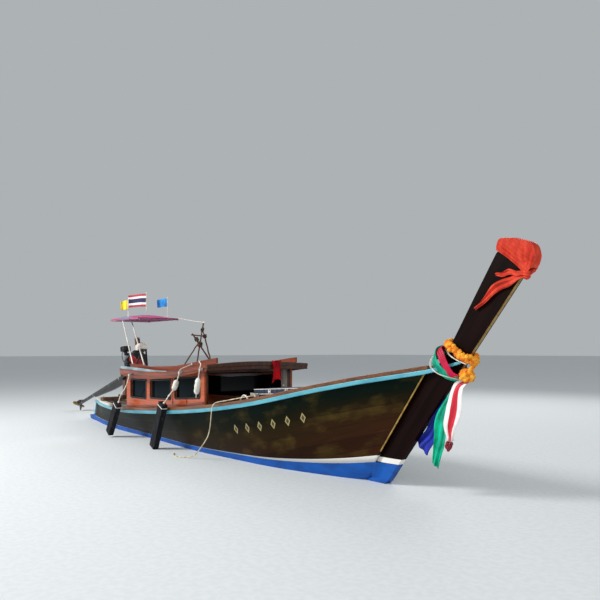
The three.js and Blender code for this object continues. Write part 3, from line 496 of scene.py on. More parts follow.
@dataclass(frozen=True)
class Petal(Finish):
    """Marigold heads: each a little redder or yellower, with ruffled petals."""

    def dress(self, shader: Node, where: Socket) -> None:
        """Adds petal ruffles and a tint that changes from head to head."""
        colour = put(where, "ValToRGB", {0: grit(where, 60)}, [
            (0.34, "#d9660f"), (0.47, self.tone), (0.6, self.base), (0.75, "#ffd25a")]).outputs[0]
        shader.inputs["Subsurface Weight"].default_value = 0.15
        self.link(shader, colour, grit(where, 9), 0.8, 3.0)


# Dark varnish over paint: reads near-black green above, brown below, with long grain streaks; pale olive patches
# forward are partly its airbrushed swirls, partly painted sheen
HULL_SIDE = PlankPaint("varnished_hull_planking", "hull_paint", "#39280e", "#0d140b", 0.42, coat=0.0,
                       specular=0.05, board=185)
# Dull oil paint inside: pale brown-grey, so the bulwark reads lighter than the side
HULL_INSIDE = Enamel("oiled_inner_planking", "hull_paint", "#62534a", "#4d4037", 0.7, share=0.3, worn="#73665b")
# Bright antifouling: flat strong blue, a little scrubbed
BOTTOM = Enamel("blue_bottom_paint", "bottom_paint", "#0355ad", "#034690", 0.5, worn="#1f6ab4", share=0.2,
                specular=0.3)
# Gloss enamel: light blue line that catches the sky
RAIL = Enamel("sky_blue_gloss_enamel", "rail_paint", "#5eb2c3", "#479bb1", 0.34, coat=0.15, worn="#86b6c2", share=0.2)
# Old paint on the roof's edge: chalky and greyed by the sun
FADED = Enamel("weathered_blue_grey_paint", "rail_paint", "#8ba1a8", "#6f8086", 0.6, worn="#8c7f74", share=0.35)
# Varnished plank: warm brown with a gleam, bleached at the stern
CAP = CapTimber("varnished_capping_plank", "cap_varnish", "#7c4a25", "#512a13", 0.36, coat=0.2)
# Many coats of dark varnish: almost black with a red-brown glow
STEM = StemTimber("dark_varnished_stem_board", "stem_varnish", "#180806", "#090302", 0.45, coat=0.0,
                  specular=0.05, lean=52, grain=9)
# Gold paint on battens: dull ochre metal look
GILT = Metal("gold_painted_batten", "stem_varnish", "#b08d45", "#8a6a2c", 0.42, metallic=0.45,
             stain="#6d5325", share=0.25)
# Orange varnish on teak: strong colour under a wet-looking gloss
CABIN = Timber("orange_varnished_teak", "cabin_varnish", "#853611", "#4e1e09", 0.32, coat=0.3, grain=6)
SIDING = Timber("orange_varnished_wall", "cabin_varnish", "#bb4f18", "#8e3a0f", 0.3, coat=0.35, grain=6)
ROOFING = Timber("varnished_roof_boards", "cabin_varnish", "#9c4e25", "#6c3113", 0.45, coat=0.15, board=133)
# Dark brown-black boards: the roof's front fascia, which faces away from the light, is painted shade; the pillars,
# header and bench under the roof are partly stain, partly painted shade; the pole feet are stain
DARK = Timber("dark_stain_and_painted_shade", "dark_wood", "#57301c", "#28130a", 0.42, coat=0.1)
# Sun-dried grey slats: the pale board beside the cabin's door
VENT = Timber("sun_bleached_slats", "dark_wood", "#9a928a", "#6f665e", 0.7, grain=8, run=(1, 1, 20))
POLE = Timber("weathered_round_poles", "dark_wood", "#6b4a35", "#3d281c", 0.6, grain=8, run=(1, 1, 12))
DECK = Timber("worn_painted_deck_boards", "deck_paint", "#8d857a", "#5f574d", 0.7, board=128)
GLASS = Glass("tinted_acrylic_sheet", "tinted_glass", "#03141b", "#020a0d", 0.08, specular=0.03)
# Gloss black paint over steel, rusting in spots
STEEL = Metal("black_painted_steel", "dark_steel", "#25252a", "#131316", 0.42, metallic=0.35, stain="#43291d",
              share=0.3)
# Sand-cast iron, oily: grey with soot
IRON = Metal("oily_cast_iron", "cast_iron", "#33363a", "#1d1e20", 0.5, metallic=0.6, stain="#1a1411", share=0.35)
RUSTY = Metal("heat_rusted_exhaust", "cast_iron", "#4a342a", "#2a1e1a", 0.7, metallic=0.3, stain="#6b3d22", share=0.5)
CHROME = Metal("galvanised_steel", "bright_steel", "#b4b7b9", "#8e9193", 0.34, metallic=0.9, stain="#7b6a5c",
               share=0.2)
BRONZE = Metal("cast_bronze", "bronze", "#a8854a", "#7c6033", 0.36, metallic=0.9, stain="#3f5a4c", share=0.3)
RED_STEEL = Enamel("red_machine_enamel", "red_paint", "#b8221f", "#861513", 0.35, coat=0.2, worn="#3a2420", share=0.3)
TUBE = Enamel("white_painted_tube", "pale_tube", "#dcd8cf", "#b9b3a8", 0.4, worn="#8a5a3c", share=0.3)
# The same tube under the canopy: its upper bars read as dusty pink cloth
SLEEVED = SleevedTube("white_tube_in_cloth_sleeves", "pale_tube", "#dcd8cf", "#b9b3a8", 0.45, worn="#8a5a3c",
                      share=0.3)
TANK_WALL = Worn("moulded_polyethylene", "white_paint", "#e6e2d8", "#cfc8b8", 0.42, scuff="#a89f8e", share=0.3,
                 strength=0.1)
FOAM = Worn("white_foam_float", "white_float", "#ece8df", "#cfc9bc", 0.75, scuff="#b3a996", share=0.3)
RUBBER = Worn("black_fender_rubber", "black_rubber", "#0c0c12", "#060609", 0.72, scuff="#2e2c34", share=0.5,
              specular=0.25)
GASKET = Worn("window_gasket_rubber", "black_rubber", "#141416", "#0b0b0d", 0.5, share=0.1)
# Stitched vinyl: navy with a soft highlight, white welt
VINYL = Worn("navy_upholstery_vinyl", "navy_vinyl", "#27304f", "#171d33", 0.45, scuff="#4b5470", share=0.35, grain=4)
WELT = Worn("white_vinyl_welt", "navy_vinyl", "#e8e6e2", "#c9c5bd", 0.5, scuff="#9b958b", share=0.2)
ROPE = Weave("laid_polyester_rope", "rope", "#dccfac", "#a8977a", 0.85, thread=6, patch=40)
# Rope soaked in tar: dull brown-black turns
TARRED = Weave("tarred_lashing_rope", "rope", "#54402f", "#2e2219", 0.85, thread=6, patch=40)
CORD = Weave("white_braided_cord", "rope", "#efe9df", "#c9bfb0", 0.8, thread=4, patch=30)
# Pink cloth; its lilac grey tone is painted shade of the underside
PINK = Canopy("pink_coated_canopy", "pink_cloth", "#cb5688", "#938bab", 0.7, specular=0.15, thread=8, relief=0.1)
RED = Weave("red_cotton", "red_cloth", "#d8081a", "#8f0410", 0.8, specular=0.2, relief=0.1)
CORAL = Weave("coral_satin", "coral_cloth", "#e64f36", "#bd3220", 0.75, specular=0.15, relief=0.03)
CRIMSON = Weave("crimson_satin", "crimson_cloth", "#ec1a50", "#b40c38", 0.6, specular=0.3, relief=0.03)
MAROON = Weave("maroon_satin", "streamer_cloth", "#8e0f26", "#4a0814", 0.6, relief=0.1)
GREEN = Weave("green_satin", "streamer_cloth", "#02c79c", "#048a6c", 0.6, specular=0.3, relief=0.03)
VIOLET = Weave("violet_satin", "streamer_cloth", "#2438b4", "#18247c", 0.6, specular=0.3, relief=0.03)
WHITE_RED = Striped("white_and_red_satin", "streamer_cloth", "#f1ebe8", "#d21f3f", 0.6, sheen=0.1, relief=0.05,
                    way=0, stripes=((0.0, "#f3ecea"), (0.3, "#d0142f"), (0.7, "#f3ecea")))
NATION = Striped("striped_flag_cloth", "flag_stripes", "#b5323c", "#8c222c", 0.8, stripes=(
    (0.0, "#b5323c"), (0.167, "#efe9ea"), (0.333, "#262350"), (0.667, "#efe9ea"), (0.833, "#b5323c")))
YELLOW = Weave("yellow_flag_cloth", "yellow_cloth", "#ecdb3c", "#c9a91f", 0.8)
BLUE = Weave("blue_flag_cloth", "blue_cloth", "#2a9be0", "#0c5fae", 0.8)
MARIGOLD = Petal("marigold_heads", "marigold", "#ffb428", "#f08c12", 0.8)


# Tools

def at(x: float, y: float, z: float) -> Vector:
    """Returns a point in metres from millimetres."""
    return Vector((x, y, z)) * MM


def mix(a: float, b: float, share: float) -> float:
    """Returns the value a share of the way from a to b."""
    return a + (b - a) * share


def angles(count: int, whole: int = 0) -> list[float]:
    """Returns count angles in radians from 0, of which a full turn takes whole (or else count)."""
    return [2 * pi * i / (whole or count) for i in range(count)]


def read(rows: Sequence[tuple[float, float]], x: float) -> float:
    """Returns the straight-line reading of a table.

    Args:
        rows: Rows of x and value, in order of x.
        x: Where it is read.

    Returns:
        The value, kept between the first and the last.
    """
    for (a, low), (b, high) in zip(rows, rows[1:]):
        if x <= b:
            return mix(low, high, max((x - a) / (b - a), 0))
    return rows[-1][1]


@dataclass(frozen=True)
class Spline:
    """A smooth curve through points in millimetres, of the kind that the CAD source uses."""

    points: tuple[Triple, ...]

    def at(self, share: float) -> Vector:
        """Reads the curve.

        Args:
            share: Share of the number of spans, from 0 to 1.

        Returns:
            The point in metres.
        """
        route = [Vector(p) for p in self.points]
        route = [2 * route[0] - route[1], *route, 2 * route[-1] - route[-2]]
        place = min(max(share, 0.0), 1.0) * (len(self.points) - 1)
        first = min(int(place), len(self.points) - 2)
        t = place - first
        p = route[first:first + 4]
        gaps = [max((b - a).length ** 0.5, 1e-4) for a, b in zip(p, p[1:])]
        out = self.slope(p[:3], gaps[:2]) * gaps[1]
        into = self.slope(p[1:], gaps[1:]) * gaps[1]
        near, far = p[1], p[2]
        bend = near + out * t + (3 * (far - near) - 2 * out - into) * t ** 2
        return (bend + (2 * (near - far) + out + into) * t ** 3) * MM

    @staticmethod
    def slope(p: Sequence[Vector], gaps: Sequence[float]) -> Vector:
        """Returns the curve's slope at the middle one of three points."""
        return (p[1] - p[0]) / gaps[0] - (p[2] - p[0]) / sum(gaps) + (p[2] - p[1]) / gaps[1]

    def spread(self, count: int) -> list[Vector]:
        """Spaces points evenly along the curve.

        Args:
            count: Number of gaps between them.

        Returns:
            The points in metres, one more than the gaps.
        """
        fine = [self.at(i / (count * 8)) for i in range(count * 8 + 1)]
        far = [0.0]
        for a, b in zip(fine, fine[1:]):
            far.append(far[-1] + (b - a).length)
        route, i = [], 0
        for step in range(count + 1):
            want = far[-1] * step / count
            while i < len(fine) - 2 and far[i + 1] < want:
                i += 1
            route.append(fine[i].lerp(fine[i + 1], (want - far[i]) / max(far[i + 1] - far[i], 1e-9)))
        return route

    def heading(self, share: float) -> Vector:
        """Returns the direction of the curve at a share."""
        return (self.at(share + 0.002) - self.at(share - 0.002)).normalized()


def ring(radius: float, sides: int = 12, across: float = 1.0) -> Section:
    """Returns a round section, its radius in millimetres."""
    return [(radius * MM * cos(t) * across, radius * MM * sin(t)) for t in angles(sides)]


def strands(radius: float, count: int = 3, sides: int = 12) -> Section:
    """Returns the section of a laid rope of a few strands, its radius in millimetres."""
    return [(radius * MM * k * cos(t), radius * MM * k * sin(t))
        for t in angles(sides) for k in [0.86 + 0.16 * abs(cos(count * t / 2))]]


def slab(wide: float, high: float, corner: float = 2.0) -> Section:
    """Returns a flat section with cut corners, in millimetres."""
    w, h, c = wide * MM / 2, high * MM / 2, corner * MM
    return [(c - w, -h), (w - c, -h), (w, c - h), (w, h - c), (w - c, h), (c - w, h), (-w, h - c), (-w, c - h)]


def pleated(wide: float, folds: int, deep: float = 3.5, thick: float = 7.0) -> Section:
    """Draws the section of a cloth band with soft pleats on its outer face.

    Args:
        wide: Width in millimetres.
        folds: Number of pleats.
        deep: Depth of a pleat.
        thick: Thickness between the pleats.

    Returns:
        The outline in metres.
    """
    share = [i / (folds * 6) for i in range(folds * 6 + 1)]
    return [((s - 0.5) * wide * MM, -thick * MM / 2) for s in share] \
        + [((s - 0.5) * wide * MM, (thick / 2 + deep * abs(sin(pi * folds * s))) * MM)
           for s in reversed(share)]


def sweep(bm: Mesh, path: Sequence[Vector], section: Section, up: Vector = UP,
          size: Callable[[float], float] = lambda share: 1.0, twist: float = 0.0, looped: bool = False) -> None:
    """Draws a closed section along a path, extruding its edges from point to point.

    Args:
        bm: Mesh that gets the bar.
        path: Points in metres.
        section: Outline, its second axis kept near up.
        up: Direction of the section's second axis at the start.
        size: Scale of the section at a share of the path.
        twist: Full turns from start to end.
        looped: Whether the path closes on itself.
    """
    route = [*path, path[0]] if looped else list(path)
    places, rise, last = [], up.normalized(), len(route) - 1
    for i, point in enumerate(route):
        if looped:
            ahead = route[(i + 1) % last] - route[(i - 1) % last]
        else:
            ahead = route[min(i + 1, last)] - route[max(i - 1, 0)]
        ahead = ahead.normalized()
        rise = (rise - ahead * rise.dot(ahead)).normalized()
        turned = Matrix.Rotation(2 * pi * twist * i / last, 4, ahead) @ rise
        side = turned.cross(ahead)
        k = size(i / last)
        places.append(Matrix((
            (side.x * k, turned.x * k, ahead.x * k, point.x), (side.y * k, turned.y * k, ahead.y * k, point.y),
            (side.z * k, turned.z * k, ahead.z * k, point.z), (0, 0, 0, 1))))
    start = [bm.verts.new(places[0] @ Vector((p, q, 0))) for p, q in section]
    first = [bm.edges.new((start[i - 1], start[i])) for i in range(len(start))]
    loop = first
    for before, after in zip(places, places[1:]):
        made = bmesh.ops.extrude_edge_only(bm, edges=loop)["geom"]
        verts = {g for g in made if isinstance(g, bmesh.types.BMVert)}
        bmesh.ops.transform(bm, matrix=after @ before.inverted(), verts=list(verts))
        loop = [g for g in made if isinstance(g, bmesh.types.BMEdge) and set(g.verts) <= verts]
    if looped:
        bmesh.ops.remove_doubles(bm, verts=bm.verts[:], dist=1e-5)
    else:
        bmesh.ops.contextual_create(bm, geom=first)
        bmesh.ops.contextual_create(bm, geom=loop)


def block(bm: Mesh, low: Vector, high: Vector, edge: float = 4.0) -> None:
    """Adds a board or block with rounded edges.

    Args:
        bm: Mesh that gets the block.
        low: One of its corners, in metres.
        high: The corner across from it.
        edge: Width of its rounded edges in millimetres.
    """
    fit = Matrix.Translation((low + high) / 2) @ Matrix.Diagonal((*(high - low), 1))
    made = bmesh.ops.create_cube(bm, size=1, matrix=fit)["verts"]
    bevel(bm, list({e for v in made for e in v.link_edges}), edge, 2)


def bevel(bm: Mesh, edges: Sequence[bmesh.types.BMEdge], width: float, steps: int) -> None:
    """Rounds edges by a width in millimetres."""
    bmesh.ops.bevel(bm, geom=edges, offset=width * MM, offset_type="OFFSET", segments=steps, profile=0.5,
        affect="EDGES", material=-1, clamp_overlap=True)


def plug(bm: Mesh, fit: Matrix, radii: tuple[float, float], depth: float, sides: int) -> None:
    """Adds a plug along a matrix's Z axis.

    Args:
        bm: Mesh that gets the plug.
        fit: Place of its middle.
        radii: Radius at its foot and at its head, in millimetres.
        depth: Length in millimetres.
        sides: Number of its sides.
    """
    bmesh.ops.create_cone(bm, cap_ends=True, segments=sides, radius1=radii[0] * MM, radius2=radii[1] * MM,
        depth=depth * MM, matrix=fit)


def aimed(middle: Vector, axis: Vector) -> Matrix:
    """Returns the matrix that stands at a point with its Z along an axis."""
    return Matrix.Translation(middle) @ axis.to_track_quat("Z", "Y").to_matrix().to_4x4()


def bolt(bm: Mesh, spot: Vector, axis: Vector, size: float) -> None:
    """Adds a washer and a hexagonal head.

    Args:
        bm: Mesh that gets the bolt.
        spot: Middle of its washer's foot, in metres.
        axis: Way that its head points.
        size: Radius of its head in millimetres.
    """
    turn = aimed(spot, axis)
    for sides, radius, depth, rise in ((16, size * 1.35, size * 0.3, 0.15), (6, size, size * 0.8, 0.7)):
        plug(bm, turn @ Matrix.Translation((0, 0, size * rise * MM)), (radius, radius), depth, sides)


def tie(bm: Mesh, middle: Vector, axis: Vector, radius: float) -> None:
    """Adds a knot: a short thick coil round a line.

    Args:
        bm: Mesh that gets the knot.
        middle: Its middle, in metres.
        axis: Way of the line.
        radius: Radius of the knot in millimetres.
    """
    start = axis.orthogonal().normalized()
    across = axis.cross(start)
    path = [middle + (start * cos(t) + across * sin(t)) * radius * 0.55 * MM
        + axis * (0.011 * sin(t / 3)) for t in angles(37, 12)]
    sweep(bm, path, ring(radius * 0.5, 7))


def added(name: str, data: bpy.types.ID) -> Piece:
    """Returns a new object of a mesh, camera or lamp, linked to the scene."""
    made = bpy.data.objects.new(name, data)
    bpy.context.scene.collection.objects.link(made)
    return made


def place(name: str, bm: Mesh, finish: Finish, body: str = "hull", crease: float = 35.0, turn: bool = True) -> Piece:
    """Makes a bmesh a finished piece that rides on a body.

    Args:
        name: Name of the piece.
        bm: Its mesh, in metres in the boat's frame.
        finish: What it is made of.
        body: CAD body that it rides on.
        crease: Angle in degrees from which an edge stays sharp.
        turn: Whether the faces are turned outwards.

    Returns:
        The piece.
    """
    if turn:
        bmesh.ops.recalc_face_normals(bm, faces=bm.faces[:])
    mesh = bpy.data.meshes.new(name)
    bm.to_mesh(mesh)
    bm.free()
    mesh.shade_smooth()
    mesh.set_sharp_from_angle(angle=radians(crease))
    piece = added(name, mesh)
    mesh.materials.append(finish.material())
    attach(piece, body)
    LOG.info("%-28s %6d faces on %s", name, len(mesh.polygons), body)
    return piece


def settled(piece: Piece) -> bpy.types.Mesh:
    """Returns a piece's mesh as its modifiers leave it at this frame."""
    return bpy.data.meshes.new_from_object(piece.evaluated_get(bpy.context.evaluated_depsgraph_get()))


def face_out(bm: Mesh, side: Side) -> None:
    """Turns the faces of one side's skin away from the boat.

    Args:
        bm: Mesh of the skin.
        side: Side that it is on.
    """
    bm.normal_update()
    if side.value * sum(f.normal.y for f in bm.faces) < 0:
        bmesh.ops.reverse_faces(bm, faces=bm.faces[:])


def soften(piece: Piece, width: float, steps: int, sharp: float, harden: bool = True) -> None:
    """Rounds a piece's sharp edges.

    Args:
        piece: Piece to soften.
        width: Width of a rounded edge in millimetres.
        steps: Faces across it.
        sharp: Angle in degrees from which an edge is rounded.
        harden: Whether its normals follow the flat faces.
    """
    soft = piece.modifiers.new("rounded edges", "BEVEL")
    soft.width, soft.segments, soft.limit_method = width * MM, steps, "ANGLE"
    soft.angle_limit, soft.harden_normals = radians(sharp), harden


def dressed(node: str, finish: Finish, edge: float = 4.0, body: str = "hull", crease: float = 35.0) -> Piece:
    """Stands a smooth copy with rounded edges in for a rigid CAD node.

    Args:
        node: Name of the node.
        finish: What it is made of.
        edge: Width of its rounded edges in millimetres, or 0.
        body: CAD body that it rides on.
        crease: Angle in degrees from which an edge stays sharp.

    Returns:
        The piece.
    """
    bm = bmesh.new()
    bm.from_mesh(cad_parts[node].data)
    bmesh.ops.remove_doubles(bm, verts=bm.verts[:], dist=2e-5)
    bmesh.ops.dissolve_limit(bm, angle_limit=radians(0.8), verts=bm.verts[:], edges=bm.edges[:])
    piece = place(node + "_finished", bm, finish, body, crease, turn=False)
    if edge:
        soften(piece, edge, 2, crease)
    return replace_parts(piece, node)


def sheet(name: str, finish: Finish, shape: Callable[[float, float], Vector], flat: tuple[float, float],
          steps: tuple[int, int] = (24, 16), thick: float = 2.0,
          replaced: Sequence[str] = ()) -> Piece:
    """Makes a sheet of cloth from a grid, with its own UV map.

    Args:
        name: Name of the piece.
        finish: Its cloth.
        shape: Point in metres at two shares of the sheet.
        flat: Width and length of the cut, in metres; not used.
        steps: Faces along each way.
        thick: Thickness in millimetres.
        replaced: CAD nodes that it stands for.

    Returns:
        The piece.
    """
    bm = bmesh.new()
    uv = bm.loops.layers.uv.new("cloth")
    bmesh.ops.create_grid(bm, x_segments=steps[0], y_segments=steps[1], size=0.5)
    for face in bm.faces:
        for corner in face.loops:
            corner[uv].uv = (corner.vert.co.x + 0.5, corner.vert.co.y + 0.5)
    for vert in bm.verts:
        vert.co = shape(vert.co.x + 0.5, vert.co.y + 0.5)
    piece = place(name, bm, finish, crease=180, turn=False)
    wall = piece.modifiers.new("cloth", "SOLIDIFY")
    wall.thickness, wall.offset = thick * MM, 0.0
    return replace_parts(piece, *replaced) if replaced else piece


@dataclass
class MooringRope:
    """The free rope from the starboard cap down to the water, its hitch and its knot."""

    route: Spline = Spline((
        (2340, -752, 992), (2280, -768, 985), (2180, -792, 966), (2060, -815, 944), (1940, -838, 922),
        (1850, -862, 905), (1775, -895, 890), (1722, -931, 868), (1695, -952, 826), (1680, -958, 770),
        (1662, -956, 690), (1642, -953, 600), (1612, -950, 490), (1560, -950, 380), (1478, -952, 290),
        (1388, -958, 205), (1290, -968, 120), (1205, -990, 50), (1120, -1022, 15), (1040, -1062, 10),
        (950, -1098, 10), (850, -1110, 10), (750, -1088, 10), (660, -1040, 10)))
    radius: float = 8.0
    steps: int = 420
    lay: float = 62.0

    def build(self) -> None:
        """Builds the laid rope, the hitch on the cleat and the knot at its end."""
        path = self.route.spread(self.steps)
        length = sum((b - a).length for a, b in zip(path, path[1:]))
        bm = bmesh.new()
        sweep(bm, path, strands(self.radius), twist=length * 1000 / self.lay)
        rope = place("mooring_rope_laid", bm, ROPE, crease=60)
        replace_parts(rope, "mooring_rope")
        bm = bmesh.new()
        low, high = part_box("mooring_cleat")
        middle = (low + high) / 2
        turns = [Vector((middle.x + 0.062 * sin(t), middle.y + 0.03 * sin(2 * t),
                         low.z + 0.014 + 0.013 * (t / 6.3) + 0.006 * cos(2 * t)))
                 for t in (i * pi / 14 for i in range(-7, 64))]
        lead = [path[0] + Vector((0.004, 0.004, 0.0)), path[0].lerp(turns[0], 0.5) + Vector((0, 0, 0.004))]
        sweep(bm, lead + turns, strands(self.radius * 0.96), twist=16)
        place("mooring_rope_hitch", bm, ROPE, crease=60)
        bm = bmesh.new()
        end, back = path[-1], (path[-4] - path[-1]).normalized()
        coil = [end + back * (0.012 * t) + Vector((0, 0, 0.004 + 0.010 * sin(t * 9)))
            + Vector((-back.y, back.x, 0)) * 0.012 * cos(t * 9) for t in (i / 12 for i in range(25))]
        sweep(bm, coil, ring(6, 8))
        knot = place("mooring_rope_knot", bm, ROPE, crease=60)
        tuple(path[0])


@dataclass
class Hull:
    """Planking, rails, capping, stem and underwater body, with their stripes and strips."""

    # Points x, y, z of the sheer, then of the paint line, which starts at the low tail behind the transom
    sheer: Spline = Spline((
        (-5170, 75, 478), (-4600, 240, 492), (-3900, 485, 512), (-2950, 700, 518), (-1800, 860, 528),
        (-600, 920, 595), (600, 925, 688), (1600, 875, 798), (2500, 745, 938), (3350, 555, 1118),
        (4150, 338, 1275), (5030, 100, 1418)))
    paint: Spline = Spline((
        (-5760, 25, 62), (-5430, 105, 92), (-5050, 160, 115), (-4500, 265, 110), (-3850, 370, 103),
        (-2950, 455, 92), (-1800, 480, 78), (-600, 545, 75), (600, 605, 80), (1600, 555, 90),
        (2500, 487, 108), (3250, 342, 150), (3800, 200, 203), (4180, 100, 258)))
    tail: int = 2
    belly: float = 0.018
    stem_foot: tuple[float, float] = (4515, 262)
    stem_tip: tuple[float, float] = (6345, 2600)
    strip: float = 44.0
    plank: float = 39.0
    nails: int = 58
    # Shares of the stem board's thickness that are left at its front face and at its head
    face: float = 0.68
    head: float = 0.74
    # Metres behind the front face over which it gets its full thickness
    taper: float = 0.16

    def line(self, u: float) -> Vector:
        """Returns the paint line's point at a share from the transom to the stem."""
        last = len(self.paint.points) - 1
        return self.paint.at((self.tail + u * (last - self.tail)) / last)

    def skin(self, u: float, w: float, out: float = 0.0) -> Vector:
        """Returns a point on the port planking.

        Args:
            u: Share from the transom to the stem.
            w: Share from the paint line to the sheer.
            out: Distance off the planking in metres.

        Returns:
            The point in metres.
        """
        ahead = self.sheer.heading(u)
        away = Vector((-ahead.y, ahead.x, 0)).normalized()
        bulge = self.belly * sin(pi * w) * sin(pi * u)
        return self.line(u).lerp(self.sheer.at(u), w) + away * (bulge + out)

    def build(self) -> None:
        """Builds both sides and dresses the rigid nodes."""
        for side in Side:
            self.planking(side)
            self.joint_strip(side)
            self.cheek(side)
            dressed(f"rub_rail_{side.word}", RAIL, 7)
            dressed(f"gunwale_cap_{side.word}", CAP, 6)
        dressed("hull_bottom", BOTTOM, 0)
        dressed("keel", BOTTOM, 1.5)
        dressed("transom", HULL_INSIDE, 3)
        dressed("stern_step", BOTTOM, 4)
        dressed("stern_strut", RAIL, 2)
        self.stem()
        self.stem_strip()
        self.fastenings()

    def planking(self, side: Side) -> None:
        """Builds one side as a smooth shell whose UV map runs along the planks.

        Args:
            side: Side of the boat.
        """
        bm = bmesh.new()
        uv = bm.loops.layers.uv.new("planks")
        bmesh.ops.create_grid(bm, x_segments=150, y_segments=14, size=0.5)
        above = bm.verts.layers.float.new("above")
        below = {}
        for vert in bm.verts:
            u, w = vert.co.x + 0.5, vert.co.y + 0.5
            tall = self.sheer.at(u).z - self.line(u).z
            vert[above] = w * tall
            vert.co = self.skin(u, w, 0.0005)
            vert.co.z += 0.0003 * (1 - w)
            below[vert] = (vert.co.x, (1 - w) * tall)
            vert.co.y *= side.value
        for face in bm.faces:
            for corner in face.loops:
                corner[uv].uv = below[corner.vert]
        face_out(bm, side)
        piece = place(f"planking_{side.word}", bm, HULL_SIDE, crease=60, turn=False)
        piece.data.materials.append(HULL_INSIDE.material())
        wall = piece.modifiers.new("plank thickness", "SOLIDIFY")
        wall.thickness, wall.offset, wall.material_offset = self.plank * MM, -1.0, 1
        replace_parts(piece, f"hull_side_{side.word}")

    def joint_strip(self, side: Side) -> None:
        """Adds the thin gilt strip where the planks end on the stem.

        Args:
            side: Side of the boat.
        """
        bm = bmesh.new()
        path = [self.skin(0.9985, w, 0.004) for w in (i / 16 for i in range(2, 17))]
        for p in path:
            p.y *= side.value
        sweep(bm, path, slab(7, 20, 2), up=Vector((1, 0, -0.6)))
        place(f"joint_strip_{side.word}", bm, GILT)

    def cheek(self, side: Side) -> None:
        """Fairs the bottom's forward end into the side of the forefoot.

        Args:
            side: Side of the boat.
        """
        bm = bmesh.new()
        bmesh.ops.create_grid(bm, x_segments=8, y_segments=12, size=0.5)
        for vert in bm.verts:
            s, t = vert.co.x + 0.5, vert.co.y + 0.5
            x, y, z = (mix(mix(a, b, t), mix(b, c, t), t) for a, b, c in
                ((4078, 4118, 4178), (58, 97, 99.5), (58, 102, 257)))
            vert.co = at(x + 150 * s, side.value * mix(y, 51.5, s * s * (3 - 2 * s)), z)
        face_out(bm, side)
        place(f"forefoot_cheek_{side.word}", bm, BOTTOM, turn=False)

    def rake(self) -> tuple[Vector, Vector, Vector]:
        """Returns the foot of the stem's front line, the way up it and the way out of it."""
        low, high = (at(x, 0, z) for x, z in (self.stem_foot, self.stem_tip))
        ahead = (high - low).normalized()
        return low, ahead, Vector((ahead.z, 0, -ahead.x))

    def stem(self) -> None:
        """Builds the stem from its CAD board, tapered to a narrower front face and a narrower head."""
        bm = bmesh.new()
        bm.from_mesh(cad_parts["stem_post"].data)
        low, ahead, front = self.rake()
        for s, normal in (*[(ahead * i * 0.15, ahead) for i in range(1, 20)], (front * -self.taper, front)):
            bmesh.ops.bisect_plane(bm, geom=[*bm.verts, *bm.edges, *bm.faces], plane_co=low + s, plane_no=normal)
        for vert in bm.verts:
            behind = min(max((low - vert.co).dot(front) / self.taper, 0), 1)
            raised = min(max((vert.co.z - 1.5) / 0.3, 0), 1)
            vert.co.y *= mix(self.face, mix(1.0, self.head, raised), behind)
        stem = place("stem_post_finished", bm, STEM, turn=False)
        soften(stem, 7, 2, 35, harden=False)
        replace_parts(stem, "stem_post")

    def stem_strip(self) -> None:
        """Adds the gilt batten up the middle of the stem's front face, above the ribbons."""
        low, ahead, front = self.rake()
        bm = bmesh.new()
        sweep(bm, [low + ahead * s + front * 0.0016 for s in (1.5, 1.85, 2.2, 2.5, 2.7)],
            slab(self.strip, 4, 1.2), up=front)
        place("stem_gilt_batten", bm, GILT)

    def fastenings(self) -> None:
        """Adds a row of plugged nails along each cap."""
        bm = bmesh.new()
        for side in Side:
            for i in range(self.nails):
                u = 0.04 + i * 0.0163
                spot = self.skin(u, 1.0, -0.018)
                spot = Vector((spot.x, spot.y * side.value, spot.z + 0.0508))
                plug(bm, Matrix.Translation(spot), (6, 5), 1.6, 10)
        place("cap_nails", bm, BRONZE, crease=30)


